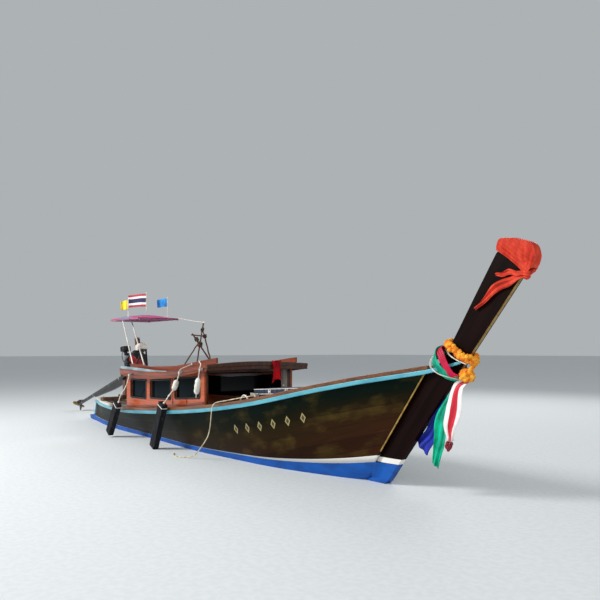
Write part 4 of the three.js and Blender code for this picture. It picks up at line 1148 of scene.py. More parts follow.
@dataclass
class Foredeck:
    """The raised foredeck with its folding mat, a cleat and an eye."""

    aft: float = 1840.0
    front: float = 3064.0
    half: float = 340.0
    thick: float = 80.0
    top: tuple[float, float] = (1052.0, 1128.0)
    sections: int = 3
    welt: float = 6.0
    growth: float = 10.0

    def build(self) -> None:
        """Dresses the decks and makes the mat."""
        dressed("foredeck", DECK, 3)
        dressed("aft_deck", DECK, 3)
        dressed("mooring_cleat", CHROME, 5)
        pads = [self.pad(i) for i in range(self.sections)]
        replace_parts(pads[0], "deck_cushion")
        self.eye()

    def at(self, x: float, y: float, rise: float) -> Vector:
        """Returns a point over the foot of the mat, in metres from millimetres."""
        return at(x, y, mix(*self.top, (x - self.aft) / (self.front - self.aft)) - self.thick + rise)

    def pad(self, number: int) -> Piece:
        """Makes one section of the mat: a swollen vinyl block with its welts.

        Args:
            number: Number of the section, from the aft end.

        Returns:
            The piece.
        """
        step = (self.front - self.aft) / self.sections
        start, end = self.aft + number * step + 5, self.aft + (number + 1) * step - 5
        bm = bmesh.new()
        bmesh.ops.create_cube(bm, size=1)
        bmesh.ops.subdivide_edges(bm, edges=bm.edges[:], cuts=11, use_grid_fill=True)
        for vert in bm.verts:
            u, v, w = vert.co + Vector((0.5, 0.5, 0.5))
            crown = (1 - (2 * u - 1) ** 4) * (1 - (2 * v - 1) ** 4)
            swell = 5 * sin(pi * w) - 8
            x = mix(start - swell, end + swell, u)
            y = mix(-self.half - swell, self.half + swell, v)
            vert.co = self.at(x, y, w * (self.thick - 1) + 1 + 6 * crown * w)
        bevel(bm, [e for e in bm.edges if e.is_manifold and e.calc_face_angle() > 1.0], 14, 3)
        piece = place(f"mat_section_{number + 1}", bm, VINYL, crease=50)
        self.swell(piece)
        self.welts(number, start, end)
        return piece

    def swell(self, piece: Piece) -> None:
        """Blows a pad up a little as cloth, so that its faces crown and its corners pucker.

        Args:
            piece: The pad.
        """
        fine = piece.modifiers.new("fine mesh", "REMESH")
        fine.mode, fine.voxel_size = "VOXEL", 0.006
        piece.data = settled(piece)
        piece.modifiers.clear()
        rest = [v.co.copy() for v in piece.data.vertices]
        cloth = piece.modifiers.new("cloth", "CLOTH")
        cloth.settings.use_pressure = True
        cloth.settings.uniform_pressure_force = 4.0
        cloth.settings.effector_weights.gravity = 0.0
        scene = bpy.context.scene
        for step in range(1, 21):
            scene.frame_set(step)
        mesh = settled(piece)
        scene.frame_set(1)
        piece.modifiers.clear()
        low = min(c.z for c in rest)
        share = min(1, self.growth * MM / max((v.co - c).length for v, c in zip(mesh.vertices, rest)))
        LOG.info("pad has %d faces and takes %.2f of its growth", len(mesh.polygons), share)
        for vert, before in zip(mesh.vertices, rest):
            vert.co = before.lerp(vert.co, share)
            vert.co.z = max(vert.co.z, low)
        mesh.shade_smooth()
        piece.data = mesh

    def welts(self, number: int, start: float, end: float) -> None:
        """Adds the white piping round the top and the bottom, and the tabs that join two sections.

        Args:
            number: Number of the section, from the aft end.
            start: Its aft end in millimetres.
            end: Its front end.
        """
        bm = bmesh.new()
        for rise, inset in ((self.thick, 2), (10, 3)):
            corner = 26
            path = []
            for x, y, turn in ((end - inset - corner, self.half - inset - corner, 0),
                               (start + inset + corner, self.half - inset - corner, 1),
                               (start + inset + corner, corner + inset - self.half, 2),
                               (end - inset - corner, corner + inset - self.half, 3)):
                for k in range(5):
                    t = pi / 2 * (turn + k / 4)
                    path.append(self.at(x + corner * cos(t), y + corner * sin(t), rise))
            sweep(bm, path, ring(self.welt, 8), looped=True)
        for y in (-self.half + 3, self.half - 3) if number else ():
            for x in (start - 16, start + 26):
                block(bm, self.at(x - 7, y - 5, 14), self.at(x + 7, y + 5, 76), 2)
            block(bm, self.at(start - 22, y - 6, 34), self.at(start + 32, y + 6, 48), 2)
        place(f"mat_welts_{number + 1}", bm, WELT, crease=40)

    def eye(self) -> None:
        """Adds a half-round eye on two feet at the deck's starboard edge."""
        bm = bmesh.new()
        base = at(2000, -600, 817)
        path = [base + Vector((0.115 * cos(t), 0, 0.16 * sin(t) + 0.01)) for t in angles(15, 28)]
        sweep(bm, path, ring(11, 10), up=ACROSS)
        for x in (-115, 115):
            block(bm, base + at(x - 30, -24, -4), base + at(x + 30, 24, 8), 3)
        place("deck_eye", bm, TUBE)


@dataclass
class Cabin:
    """Varnished walls, windows with rubber gaskets, the roof with its fascias, and what is inside."""

    half: float = 840.0
    # Rows: x, height of the roof's side edge
    roof: tuple[tuple[float, float], ...] = ((-1710, 1298), (-1170, 1285), (-700, 1270), (-270, 1270),
                                             (170, 1283), (540, 1303), (840, 1340), (1210, 1388), (1540, 1432))
    # Columns: aft x, front x, sill z aft, sill z front, head z aft, head z front
    windows: tuple[tuple[float, ...], ...] = ((-1460, -800, 785, 792, 1108, 1118),
                                              (-630, 150, 815, 830, 1118, 1158),
                                              (290, 1120, 858, 905, 1178, 1232))
    corner: float = 45.0

    def build(self) -> None:
        """Dresses the cabin's nodes and adds the trim."""
        for side in Side:
            dressed(f"cabin_wall_{side.word}", SIDING, 4)
            dressed(f"glazing_{side.word}", GLASS, 0)
            self.gaskets(side)
            self.trim(side)
        dressed("roof_panel", ROOFING, 3)
        dressed("roof_fascia", CABIN, 5)
        # The front fascia faces away from the light: its dark boards are painted shade
        dressed("roof_fascia_front", DARK, 5)
        dressed("cabin_header", DARK, 4)
        dressed("cabin_panel_aft", SIDING, 4)
        dressed("cabin_bench", DARK, 5)
        dressed("cabin_floor", DECK, 3)
        self.entry()
        self.cloth()

    def outline(self, row: tuple[float, ...]) -> list[tuple[float, float]]:
        """Draws a window's outline, its corners rounded as the wall is cut.

        Args:
            row: Row of the table of windows.

        Returns:
            Points (x, z) in millimetres.
        """
        aft, front, sill_aft, sill_front, head_aft, head_front = row
        c = self.corner
        corners = (((front - c, sill_front), (front, sill_front), (front, sill_front + c)),
            ((front, head_front - c), (front, head_front), (front - c, head_front)),
            ((aft + c, head_aft), (aft, head_aft), (aft, head_aft - c)),
            ((aft, sill_aft + c), (aft, sill_aft), (aft + c, sill_aft)))
        points = []
        for a, b, d in corners:
            for t in (i / 6 for i in range(7)):
                points.append(tuple((1 - t) ** 2 * a[k] + 2 * t * (1 - t) * b[k] + t * t * d[k] for k in (0, 1)))
        return points

    def gaskets(self, side: Side) -> None:
        """Adds a black rubber frame round each window and a thin varnished bead outside it.

        Args:
            side: Side of the boat.
        """
        bm, bead = bmesh.new(), bmesh.new()
        for row in self.windows:
            path = [at(x, side.value * (self.half + 1), z) for x, z in self.outline(row)]
            sweep(bm, path, slab(26, 16, 5), up=ACROSS, looped=True)
            middle = sum(path, Vector()) / len(path)
            outer = [p + Vector(((p.x - middle.x) * 0.05, 0, (p.z - middle.z) * 0.11)) for p in path]
            sweep(bead, outer, slab(9, 9, 3), up=ACROSS, looped=True)
        place(f"window_gaskets_{side.word}", bm, GASKET, crease=45)
        place(f"window_beads_{side.word}", bead, CABIN, crease=45)

    def trim(self, side: Side) -> None:
        """Adds the sill rail along the wall's foot, a half-round moulding aft and two cover strips.

        Args:
            side: Side of the boat.
        """
        bm = bmesh.new()
        foot = [(-1640, 548), (-600, 648), (600, 741), (1350, 822)]
        y = side.value * (self.half + 7)
        for rise, high in ((26, 30), (-8, 12)):
            path = [at(x, y, read(foot, x) + rise) for x in range(-1640, 1241, 60)]
            sweep(bm, path, slab(16, high, 5))
        path = [at(x, side.value * self.half, 0.068 * x + 708) for x in range(-1640, -460, 59)]
        sweep(bm, path, ring(26, 20, 0.5), up=UP)
        near, far = sorted((side.value * (self.half - 2), side.value * (self.half + 9)))
        for x, top in ((220, 1255), (701, 868)):
            block(bm, at(x - 7, near, read(foot, x) + 44), at(x + 7, far, top), 3)
        place(f"wall_trim_{side.word}", bm, CABIN, crease=40)

    def entry(self) -> None:
        """Adds the front pillars, the roof's beams, the grey board and its white knob."""
        bm = bmesh.new()
        for y in (-800, 800):
            block(bm, at(1198, y - 32, 806), at(1258, y + 32, 1372), 5)
        block(bm, at(1212, 700, 795), at(1256, 770, 1292), 4)
        for x in (-1540, -680, 420):
            block(bm, at(x - 22, -790, read(self.roof, x) - 54), at(x + 22, 790, read(self.roof, x) - 12), 4)
        place("cabin_pillars", bm, DARK)
        bm = bmesh.new()
        block(bm, at(1262, 600, 815), at(1280, 720, 1330), 4)
        place("cabin_vent_board", bm, VENT)
        bm = bmesh.new()
        bmesh.ops.create_uvsphere(bm, u_segments=20, v_segments=12, radius=0.021,
            matrix=Matrix.Translation(at(1300, 620, 1062)))
        sweep(bm, [at(1275, 620, 1062), at(1290, 620, 1062)], ring(10, 12), up=UP)
        place("vent_board_knob", bm, WELT)

    def cloth(self) -> None:
        """Hangs the red cloth over the front of the roof, gathered at the top, with two points below."""
        def shape(u: float, v: float) -> Vector:
            """Returns the cloth's point at two shares of its cut."""
            fold = 9 * sin(u * 19 + 1.3 * sin(v * 5)) * (0.4 + 0.9 * v)
            y = 305 + (u - 0.5) * (172 - 40 * sin(pi * v) + 16 * v)
            low = 1104 + 66 * abs(sin(pi * u)) ** 0.7 + 24 * u
            z = mix(1470, low, v)
            out = 1554 + fold + 6 * v - 14 * (1 - v) ** 6
            return at(out, y, z)
        sheet("roof_cloth_folds", RED, shape, flat=(0.20, 0.34),
            steps=(36, 22), replaced=("roof_cloth",))
        bm = bmesh.new()
        path = [at(1545 + 5 * sin(t * 9), 215 + 180 * t, 1472 + 3 * cos(t * 14)) for t in (i / 16 for i in range(17))]
        sweep(bm, path, ring(9, 8), size=lambda s: 0.8 + 0.3 * sin(s * 20))
        place("roof_cloth_roll", bm, RED)


@dataclass
class RoofGear:
    """Rails and poles on the roof, the fenders on their lines and the hung floats."""

    # Columns: name, top x, top z, bottom x, bottom z, has a float, points of the line from the fender up
    fenders: tuple[tuple, ...] = (
        ("fore", 250, 780, -95, 32, True,
         ((250, 1022, 770), (450, 1016, 925), (616, 1012, 1045), (676, 1010, 1135), (735, 1003, 1235),
          (752, 998, 1318))),
        ("aft", -1610, 672, -2010, 78, False,
         ((-1610, 1022, 660), (-1515, 1014, 814), (-1303, 1004, 986), (-1190, 998, 1151), (-1170, 998, 1225))))
    wide: float = 160.0
    deep: float = 96.0
    off: float = 1027.0
    # Distances of a hook's plate from the middle line, inside and outside
    plate: tuple[float, float] = (957.0, 964.0)
    # Rows: start, end, radius of a pole
    poles: tuple[tuple, ...] = (
        ((257, -500, 1920), (267, -73, 1344), 14), ((293, -310, 2100), (119, -354, 1331), 13),
        ((135, -200, 1900), (-35, 58, 1333), 13), ((200, -335, 1790), (-212, -453, 1318), 12),
        ((262, -520, 1900), (130, -180, 1884), 12), ((130, -190, 1890), (262, -312, 1990), 9))

    def build(self) -> None:
        """Builds what stands on the roof and hangs from it."""
        for side in Side:
            dressed(f"roof_rail_{side.word}", CABIN, 4)
        self.roof_poles()
        for row in self.fenders:
            for side in Side:
                self.fender(row, side)
        self.hung_float()
        self.edge_strip()

    def roof_poles(self) -> None:
        """Builds tapered, knotty poles and the rope lashings round their crossings."""
        bm = bmesh.new()
        for number, (low, high, radius) in enumerate(self.poles):
            path = [at(*low).lerp(at(*high), i / 24) + Vector((noise.noise(Vector((i * 0.3, number, 0))),
                noise.noise(Vector((i * 0.3, number, 5))), 0)) * 0.006 for i in range(25)]
            sweep(bm, path, ring(radius, 10), size=lambda s: 0.95 + 0.12 * noise.noise(Vector((s * 9, number * 3, 1))))
        poles = place("roof_poles_round", bm, POLE, crease=50)
        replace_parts(poles, "roof_poles")
        bm = bmesh.new()
        for middle, axis, radius, turns in (
                ((228, -338, 1742), (0.4, -0.1, 1), 40, 7), ((262, -420, 1826), (0.2, 0.8, 0.6), 24, 5),
                ((130, -190, 1884), (0.3, 0.9, 0.2), 24, 5), ((266, -312, 1990), (0.2, 0.3, 1), 22, 5)):
            self.lashing(bm, at(*middle), Vector(axis).normalized(), radius, turns)
        place("pole_lashings", bm, TARRED, crease=60)
        bm = bmesh.new()
        for x, y, z in ((267, -73, 1346), (119, -354, 1335), (-35, 58, 1337), (-212, -453, 1321)):
            block(bm, at(x - 45, y - 30, z - 14), at(x + 45, y + 30, z + 10), 4)
        place("pole_feet", bm, DARK)

    def lashing(self, bm: Mesh, middle: Vector, axis: Vector, radius: float, turns: int) -> None:
        """Adds rope turns round an axis, crossed by turns the other way.

        Args:
            bm: Mesh that gets the rope.
            middle: Middle of the lashing in metres.
            axis: Way of the poles.
            radius: Radius of the turns in millimetres.
            turns: Number of turns each way.
        """
        side = axis.orthogonal().normalized()
        for way, tilt in ((axis, 1.0), (axis.cross(side), 0.86)):
            start = way.orthogonal().normalized()
            across = way.cross(start)
            path = [middle + (start * cos(t) + across * sin(t)) * radius * MM * tilt
                + way * (t / (2 * pi * turns) - 0.5) * 0.075 for t in angles(turns * 14 + 1, 14)]
            sweep(bm, path, ring(5.2, 6))

    def fender(self, row: tuple, side: Side) -> None:
        """Builds one fender: a scuffed rubber block on a hitched line from a hook on the eave.

        Args:
            row: Row of the table of fenders.
            side: Side of the boat.
        """
        name, top_x, top_z, low_x, low_z, has_float, line = row
        word = f"{name}_{side.word}"
        length = hypot(top_x - low_x, top_z - low_z)
        turn = Matrix.Translation(at((top_x + low_x) / 2, side.value * self.off, (top_z + low_z) / 2)) \
            @ Matrix.Rotation(atan2(top_x - low_x, top_z - low_z), 4, "Y")
        size = at(self.wide / 2, self.deep / 2, length / 2)
        bm = bmesh.new()
        bmesh.ops.create_cube(bm, size=1, matrix=Matrix.Diagonal((*(size * 2), 1)))
        edges = [e for e in bm.edges if abs((e.verts[0].co - e.verts[1].co).z) > 0.1]
        bmesh.ops.subdivide_edges(bm, edges=edges, cuts=22)
        for vert in bm.verts:
            vert.co.x *= 1 - 0.02 * abs(sin(vert.co.z * 24))
        faces = [f for f in bm.faces if abs(f.normal.x) > 0.9]
        bmesh.ops.inset_region(bm, faces=faces, thickness=0.02, depth=0)
        bmesh.ops.inset_region(bm, faces=faces, thickness=0.003, depth=-0.008)
        bmesh.ops.transform(bm, matrix=turn, verts=bm.verts[:])
        piece = place(f"fender_{word}_block", bm, RUBBER, crease=40)
        soften(piece, 12, 3, 30)
        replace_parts(piece, f"fender_{word}")
        route = Spline(tuple((x, side.value * y, z) for x, y, z in line))
        path = route.spread(130)
        bm = bmesh.new()
        sweep(bm, path, strands(9, 3, 9), twist=12)
        cord = [turn @ at(86 * cos(t), 54 * sin(t), length / 2 - 60) for t in angles(24)]
        sweep(bm, [self.boxed(turn, p, size) for p in cord], ring(7, 8), looped=True)
        tie(bm, path[5], route.heading(0.02), 17)
        tie(bm, path[-6], route.heading(0.98), 15)
        if has_float:
            tie(bm, path[40], route.heading(0.3), 14)
        place(f"fender_{word}_line", bm, CORD, crease=60)
        if has_float:
            self.float(f"fender_{word}_float", at(616, side.value * 1012, 1045), at(676, side.value * 1010, 1135),
                46, 92)
            self.lead(f"fender_{word}_lead", at(752, side.value * 998, 1322), at(746, side.value * 962, 1350),
                at(740, side.value * 771, 1418))
        self.hook(f"fender_{word}_hook", line[-1], side)

    def lead(self, name: str, hook: Vector, edge: Vector, rail: Vector) -> None:
        """Carries a line on from its hook, over the roof's edge, to a knot on the roof's rail.

        Args:
            name: Name of the piece.
            hook: Point at the hook in metres.
            edge: Point over the roof's edge.
            rail: Point at the rail.
        """
        bm = bmesh.new()
        sweep(bm, [*[hook.lerp(edge, i / 16) for i in range(16)], *[edge.lerp(rail, i / 64) for i in range(65)]],
            strands(7, 3, 9), twist=9)
        tie(bm, rail, UP, 15)
        place(name, bm, CORD, crease=60)

    def boxed(self, turn: Matrix, point: Vector, size: Vector) -> Vector:
        """Moves a point out to a block's outline.

        Args:
            turn: Place of the block.
            point: Point in metres.
            size: Half sizes of the block.

        Returns:
            The moved point.
        """
        local = turn.inverted() @ point
        reach = max(abs(local.x) / size.x, abs(local.y) / size.y)
        return turn @ Vector((local.x / reach, local.y / reach, local.z))

    def float(self, name: str, low: Vector, high: Vector, radius: float, half: float) -> None:
        """Builds a foam net float threaded on a line: three lumps with lips at its hole.

        Args:
            name: Name of the piece.
            low: Point of the line under its middle, in metres.
            high: Point of the line over its middle.
            radius: Radius in millimetres.
            half: Half its length.
        """
        profile = [(9, -1.0), (20, -0.98), (30, -0.9), (42, -0.7), (45, -0.5), (40, -0.34), (44, -0.2), (46, 0),
            (44, 0.2), (40, 0.34), (45, 0.5), (42, 0.7), (30, 0.9), (20, 0.98), (9, 1.0)]
        bm = bmesh.new()
        verts = [bm.verts.new((r * radius / 46 * MM, 0, z * half * MM)) for r, z in profile]
        edges = [bm.edges.new(pair) for pair in zip(verts, verts[1:])]
        bmesh.ops.spin(bm, geom=verts + edges, axis=(0, 0, 1), cent=(0, 0, 0), angle=2 * pi, steps=24, use_merge=True)
        bmesh.ops.transform(bm, matrix=aimed((low + high) / 2, (high - low).normalized()), verts=bm.verts[:])
        place(name, bm, FOAM, crease=60)

    def hook(self, name: str, point: Triple, side: Side) -> None:
        """Builds a bolted hook on the eave that carries a line.

        Args:
            name: Name of the piece.
            point: End of the line in millimetres, on the port side.
            side: Side of the boat.
        """
        x, y, z = point
        bm = bmesh.new()
        near, far = sorted(side.value * y for y in self.plate)
        block(bm, at(x - 30, near, z - 30), at(x + 30, far, z + 4), 2)
        path = [at(x, side.value * 962, z - 12), at(x, side.value * (y - 10), z - 14),
            at(x, side.value * (y + 4), z - 8), at(x, side.value * (y + 6), z + 4)]
        sweep(bm, path, ring(6, 8), up=AHEAD)
        for shift in (-20, 20):
            bolt(bm, at(x + shift, side.value * self.plate[1], z - 14), ACROSS * side.value, 6)
        place(name, bm, CHROME)

    def hung_float(self) -> None:
        """Builds the long white float that hangs ahead of the fore fender on its line."""
        top, low = at(1400, -998, 1372), at(1285, -998, 930)
        bm = bmesh.new()
        path = [top.lerp(low, i / 90) for i in range(91)]
        sweep(bm, path, strands(7, 3, 9), twist=8)
        for share in (0.04, 0.32, 0.86):
            tie(bm, top.lerp(low, share), (low - top).normalized(), 13)
        line = place("hung_float_line", bm, CORD, crease=60)
        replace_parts(line, "hung_float")
        self.float("hung_float_body", at(1313, -998, 1040), at(1347, -998, 1168), 46, 125)
        self.hook("hung_float_hook", (1400, 998, 1372), Side.STARBOARD)
        self.lead("hung_float_lead", at(1400, -998, 1376), at(1372, -962, 1428), at(990, -771, 1462))

    def edge_strip(self) -> None:
        """Adds the weathered blue-grey batten on the roof's edge, tall beside the helm and fading forward."""
        bm = bmesh.new()
        for side in Side:
            tall = [(x, 1 - 0.75 * max(0, (x + 700) / 900)) for x in range(-1670, 200, 60)]
            path = [at(x, side.value * 938, read(Cabin.roof, x) + 5 + 23 * k) for x, k in tall]
            sweep(bm, path, slab(28, 48, 4), size=lambda s: tall[round(s * (len(tall) - 1))][1])
        place("roof_edge_batten", bm, FADED)


@dataclass
class Engine:
    """The engine on its swivelling tail, with its pipes, bolts and shaft, and the post that carries it."""

    pivot: Triple = (-3.62, 0.0, 1.113)
    turn: float = -5.8
    pitch: float = -12.5

    def frame(self) -> Matrix:
        """Returns the tail's own frame in the boat's: along the shaft, +X forward from the tilt pins."""
        return (Matrix.Translation(self.pivot) @ Matrix.Rotation(radians(self.turn), 4, "Z")
            @ Matrix.Rotation(radians(self.pitch), 4, "Y"))

    def build(self) -> None:
        """Dresses the engine's nodes and adds its fittings."""
        dressed("engine_post", POLE, 5)
        dressed("swivel_yoke", STEEL, 3, "swivel")
        for node, finish, edge in (("tail_tube", STEEL, 3), ("engine_frame", STEEL, 3), ("engine_block", IRON, 7),
                                   ("exhaust", RUSTY, 5), ("air_cleaner", STEEL, 5), ("belt_guard", RED_STEEL, 6),
                                   ("fuel_tank", TANK_WALL, 16)):
            dressed(node, finish, edge, "tail")
        dressed("propeller", BRONZE, 1.5, "propeller")
        self.bolts()
        self.pipes()
        self.trim()
        self.swivel()

    def add(self, name: str, bm: Mesh, finish: Finish, crease: float = 35.0) -> None:
        """Turns a bmesh from the tail's frame to the boat's and places it on the tail."""
        bmesh.ops.transform(bm, matrix=self.frame(), verts=bm.verts[:])
        place(name, bm, finish, "tail", crease)

    def bolts(self) -> None:
        """Adds the bolts of the head, the sump, the frame, the flange and the guard."""
        bm = bmesh.new()
        for x in range(400, 880, 92):
            for y in (-108, 108):
                bolt(bm, at(x, y, 290), UP, 10)
        for x in range(440, 860, 80):
            bolt(bm, at(x, -120, -110), -ACROSS, 7)
            bolt(bm, at(x, -150, 30), -ACROSS, 8)
        for x in (345, 995):
            for y in (-220, 220):
                bolt(bm, at(x, y, -100), UP, 9)
        for t in angles(6):
            bolt(bm, at(305, 98 * cos(t), 98 * sin(t)), -AHEAD, 9)
        for t in (0.4, 2.2, 4.0, 5.8):
            bolt(bm, at(955, 88 * cos(t), 20 + 88 * sin(t)), AHEAD, 6)
        self.add("engine_bolts", bm, CHROME)

    def pipes(self) -> None:
        """Adds the injection pump with its pipes, the fuel hose and the water hoses."""
        bm = bmesh.new()
        for i, x in enumerate((450, 560, 670, 780)):
            path = Spline(((560 + i * 22, -158, 96), (560 + i * 22, -178, 190), (x, -172, 268), (x, -118, 318),
                (x, -84, 318))).spread(18)
            sweep(bm, path, ring(4, 8))
            lying = Matrix.Translation(at(x, -94, 318)) @ Matrix.Rotation(pi / 2, 4, "X")
            plug(bm, lying, (11, 9), 50, 6)
        self.add("injector_pipes", bm, CHROME)
        bm = bmesh.new()
        block(bm, at(530, -196, 20), at(660, -150, 96), 8)
        block(bm, at(455, -60, 350), at(800, 30, 372), 10)
        plug(bm, Matrix.Translation(at(500, 66, 366)), (34, 34), 100, 20)
        self.add("pump_and_cover", bm, IRON)
        bm = bmesh.new()
        hoses = (((470, 240, 404), (440, 262, 330), (470, 180, 200), (540, 160, 110), (560, 152, 70)),
            ((860, 60, 300), (905, 70, 300), (930, 64, 250), (912, 50, 190), (885, 40, 170)),
            ((600, -215, 398), (560, -246, 330), (530, -220, 200), (512, -152, 140)))
        for route, radius in zip(hoses, (6, 19, 7)):
            sweep(bm, Spline(route).spread(28), ring(radius, 12))
        self.add("engine_hoses", bm, GASKET, 50)

    def trim(self) -> None:
        """Adds the tank's cap and straps, the exhaust's clamps, fins, the tiller's grip and the collars."""
        bm = bmesh.new()
        plug(bm, Matrix.Translation(at(600, 160, 556)), (36, 32), 34, 22)
        self.add("tank_cap", bm, GASKET)
        bm = bmesh.new()
        for x in (480, 700):
            path = [at(x, y, z) for y, z in ((62, 398), (62, 536), (150, 549), (254, 536), (254, 398))]
            sweep(bm, path, slab(2.4, 24, 0.6), up=AHEAD)
        for z in (492, 748):
            path = [at(235 + 60 * cos(t), 215 + 60 * sin(t), z) for t in angles(32)]
            sweep(bm, path, slab(5, 16, 1), up=UP, looped=True)
        for x in (-3900, -3300, -2750, -1300, -500):
            path = [at(x, 41 * cos(t), 41 * sin(t)) for t in angles(28)]
            sweep(bm, path, slab(4, 26, 1), up=AHEAD, looped=True)
        self.add("straps_and_collars", bm, CHROME)
        bm = bmesh.new()
        for i in range(9):
            for y in (-149, 149):
                block(bm, at(386 + i * 56, y - 3, 110), at(394 + i * 56, y + 3, 196), 1.5)
        for i in range(12):
            path = [at(640 + 105.5 * cos(t), -190 + 105.5 * sin(t), 390 + i * 7) for t in angles(28)]
            sweep(bm, path, slab(1.6, 2.6, 0.4), up=UP, looped=True)
        self.add("block_ribs", bm, IRON)
        bm = bmesh.new()
        route = Spline(((1090, -118, 20), (1180, -70, 170), (1300, -40, 240))).spread(26)[9:]
        sweep(bm, route, ring(22, 14), size=lambda s: 1 + 0.07 * sin(s * 60))
        self.add("tiller_grip", bm, GASKET)
        bm = bmesh.new()
        for t in angles(10):
            middle = at(956, 62 * cos(t), 20 + 62 * sin(t))
            block(bm, middle - at(0, 4, 12), middle + at(2.5, 4, 12), 1)
        self.add("guard_slots", bm, GASKET)

    def swivel(self) -> None:
        """Adds the pins' nuts and the bolts that hold the turntable's plate to the post."""
        bm = bmesh.new()
        turn = Matrix.Translation(self.pivot) @ Matrix.Rotation(radians(self.turn), 4, "Z")
        for y in (-96, 96):
            bolt(bm, turn @ at(0, y, 0), turn.to_3x3() @ (ACROSS * copysign(1, y)), 20)
        place("pin_nuts", bm, CHROME, "swivel")
        bm = bmesh.new()
        for along, across, z in ((85, 125, 680), (45, 500, 640)):
            for x, y in itertools.product((-along, along), (-across, across)):
                bolt(bm, at(self.pivot[0] * 1000 + x, y, z), UP, 12)
        place("post_bolts", bm, CHROME)


@dataclass
class Sunshade:
    """The canopy over the helm, its frame and stay, and the three flags."""

    aft: float = -3330.0
    front: float = -2010.0
    low: float = -450.0
    high: float = 380.0
    z: float = 2268.0
    # Way that the wind blows, as shares of x and y
    fly: tuple[float, float] = (-0.85, -0.52)
    # Columns: name, finish, staff x, y, top z, flag length, height
    flags: tuple[tuple, ...] = (("national", NATION, -2400, -100, 2803, 430, 262),
                                ("yellow", YELLOW, -2490, -450, 2660, 172, 190),
                                ("blue", BLUE, -2160, 250, 2712, 240, 172))

    def build(self) -> None:
        """Builds the canopy, its lashings, the stay and the flags."""
        dressed("shade_frame", SLEEVED, 0, crease=50)
        self.canopy()
        for row in self.flags:
            self.flag(*row)
        self.stay()

    def canopy(self) -> None:
        """Stretches one sheet over the frame, arched by the wind, its long edges drawn down over the tubes."""
        def shape(u: float, v: float) -> Vector:
            """Returns the cloth's point at two shares of its cut."""
            x = mix(self.aft - 34, self.front + 44, u)
            y = mix(self.low - 19, self.high + 19, min(max((v - 0.04) / 0.92, 0), 1))
            bars = 0.5 + 0.5 * cos((u * 1.38 - 0.03) * pi * 2 / 0.46)
            rise = (24 + 62 * sin(pi * v)) * sin(pi * u) ** 0.8 - 4 * (1 - bars)
            wrinkle = 4 * noise.noise(Vector((u * 5, v * 14, 0))) + 2.5 * sin(v * 46 + u * 6) * (1 - u) ** 2
            hem = max(0, 1 - v / 0.04, 1 - (1 - v) / 0.04)
            return at(x, y, mix(self.z + 19 + rise + wrinkle, self.z - 16 + rise, hem))
        sheet("shade_canopy_cloth", PINK, shape, flat=(0.94, 1.46),
            steps=(90, 60), thick=3, replaced=("shade_canopy",))
        bm = bmesh.new()
        for x, y in itertools.product((self.aft, self.front), (self.low, self.high)):
            path = [at(x + 22 * cos(t), y + 4 * t, self.z + 22 * sin(t)) for t in angles(20, 12)]
            sweep(bm, path, ring(4, 6))
        place("canopy_lashings", bm, CORD, crease=60)
        bm = bmesh.new()
        for x, y, z in ((-2800, -250, 2268), (-2800, -440, 2268), (-1665, -479, 1350), (-1665, -703, 1338)):
            block(bm, at(x - 24, y - 20, z - 18), at(x + 24, y + 20, z + 20), 4)
        place("post_clamps", bm, CHROME)

    def flag(self, name: str, finish: Finish, x: float, y: float, top: float, length: float, height: float) -> None:
        """Flies one flag from its staff, with ties and folds that grow towards the fly.

        Args:
            name: Colour or kind of the flag.
            finish: Its cloth.
            x: Place of the staff in millimetres.
            y: The same across the boat.
            top: Height of the staff's top.
            length: Length of the flag.
            height: Height of the flag.
        """
        def shape(u: float, v: float) -> Vector:
            """Returns the cloth's point at two shares of its cut."""
            reach = mix(6, length, u)
            cross = 22 * sin(u * 6.2 + v * 0.8) * min(1, u * 3) + 5 * sin(u * 15 - v * 2) * u
            sag = 26 * u * u
            return at(x + self.fly[0] * reach - self.fly[1] * cross, y + self.fly[1] * reach + self.fly[0] * cross,
                top - 8 - height * (1 - v) * (1 - 0.06 * u) - sag)
        sheet(f"flag_{name}_cloth", finish, shape, flat=(round(height * MM, 3), round(length * MM, 3)),
            steps=(40, 20), thick=1.5, replaced=(f"flag_{name}",))
        bm = bmesh.new()
        for z in (top - 14, top - 4 - height):
            path = [at(x + 11 * cos(t), y + 11 * sin(t), z + t) for t in angles(22, 10)]
            sweep(bm, path, ring(2.2, 6))
        bmesh.ops.create_uvsphere(bm, u_segments=14, v_segments=8, radius=0.013,
            matrix=Matrix.Translation(at(x, y, top + 4)))
        place(f"flag_{name}_ties", bm, CORD, crease=60)

    def stay(self) -> None:
        """Draws the taut line from the canopy's corner to the roof poles, knotted at both ends."""
        start, end = at(-1960, 405, 2292), at(283, -285, 2112)
        path = [start.lerp(end, i / 60) - Vector((0, 0, 0.004 * sin(pi * i / 60))) for i in range(61)]
        bm = bmesh.new()
        sweep(bm, path, strands(5, 3, 9), twist=70)
        line = place("shade_stay_line", bm, CORD, crease=60)
        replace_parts(line, "shade_stay")
        bm = bmesh.new()
        tie(bm, start, (end - start).normalized(), 15)
        tie(bm, end, (end - start).normalized(), 15)
        knots = place("shade_stay_knots", bm, CORD, crease=60)
        length = sum((b - a).length for a, b in zip(path, path[1:]))
        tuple(path[0])


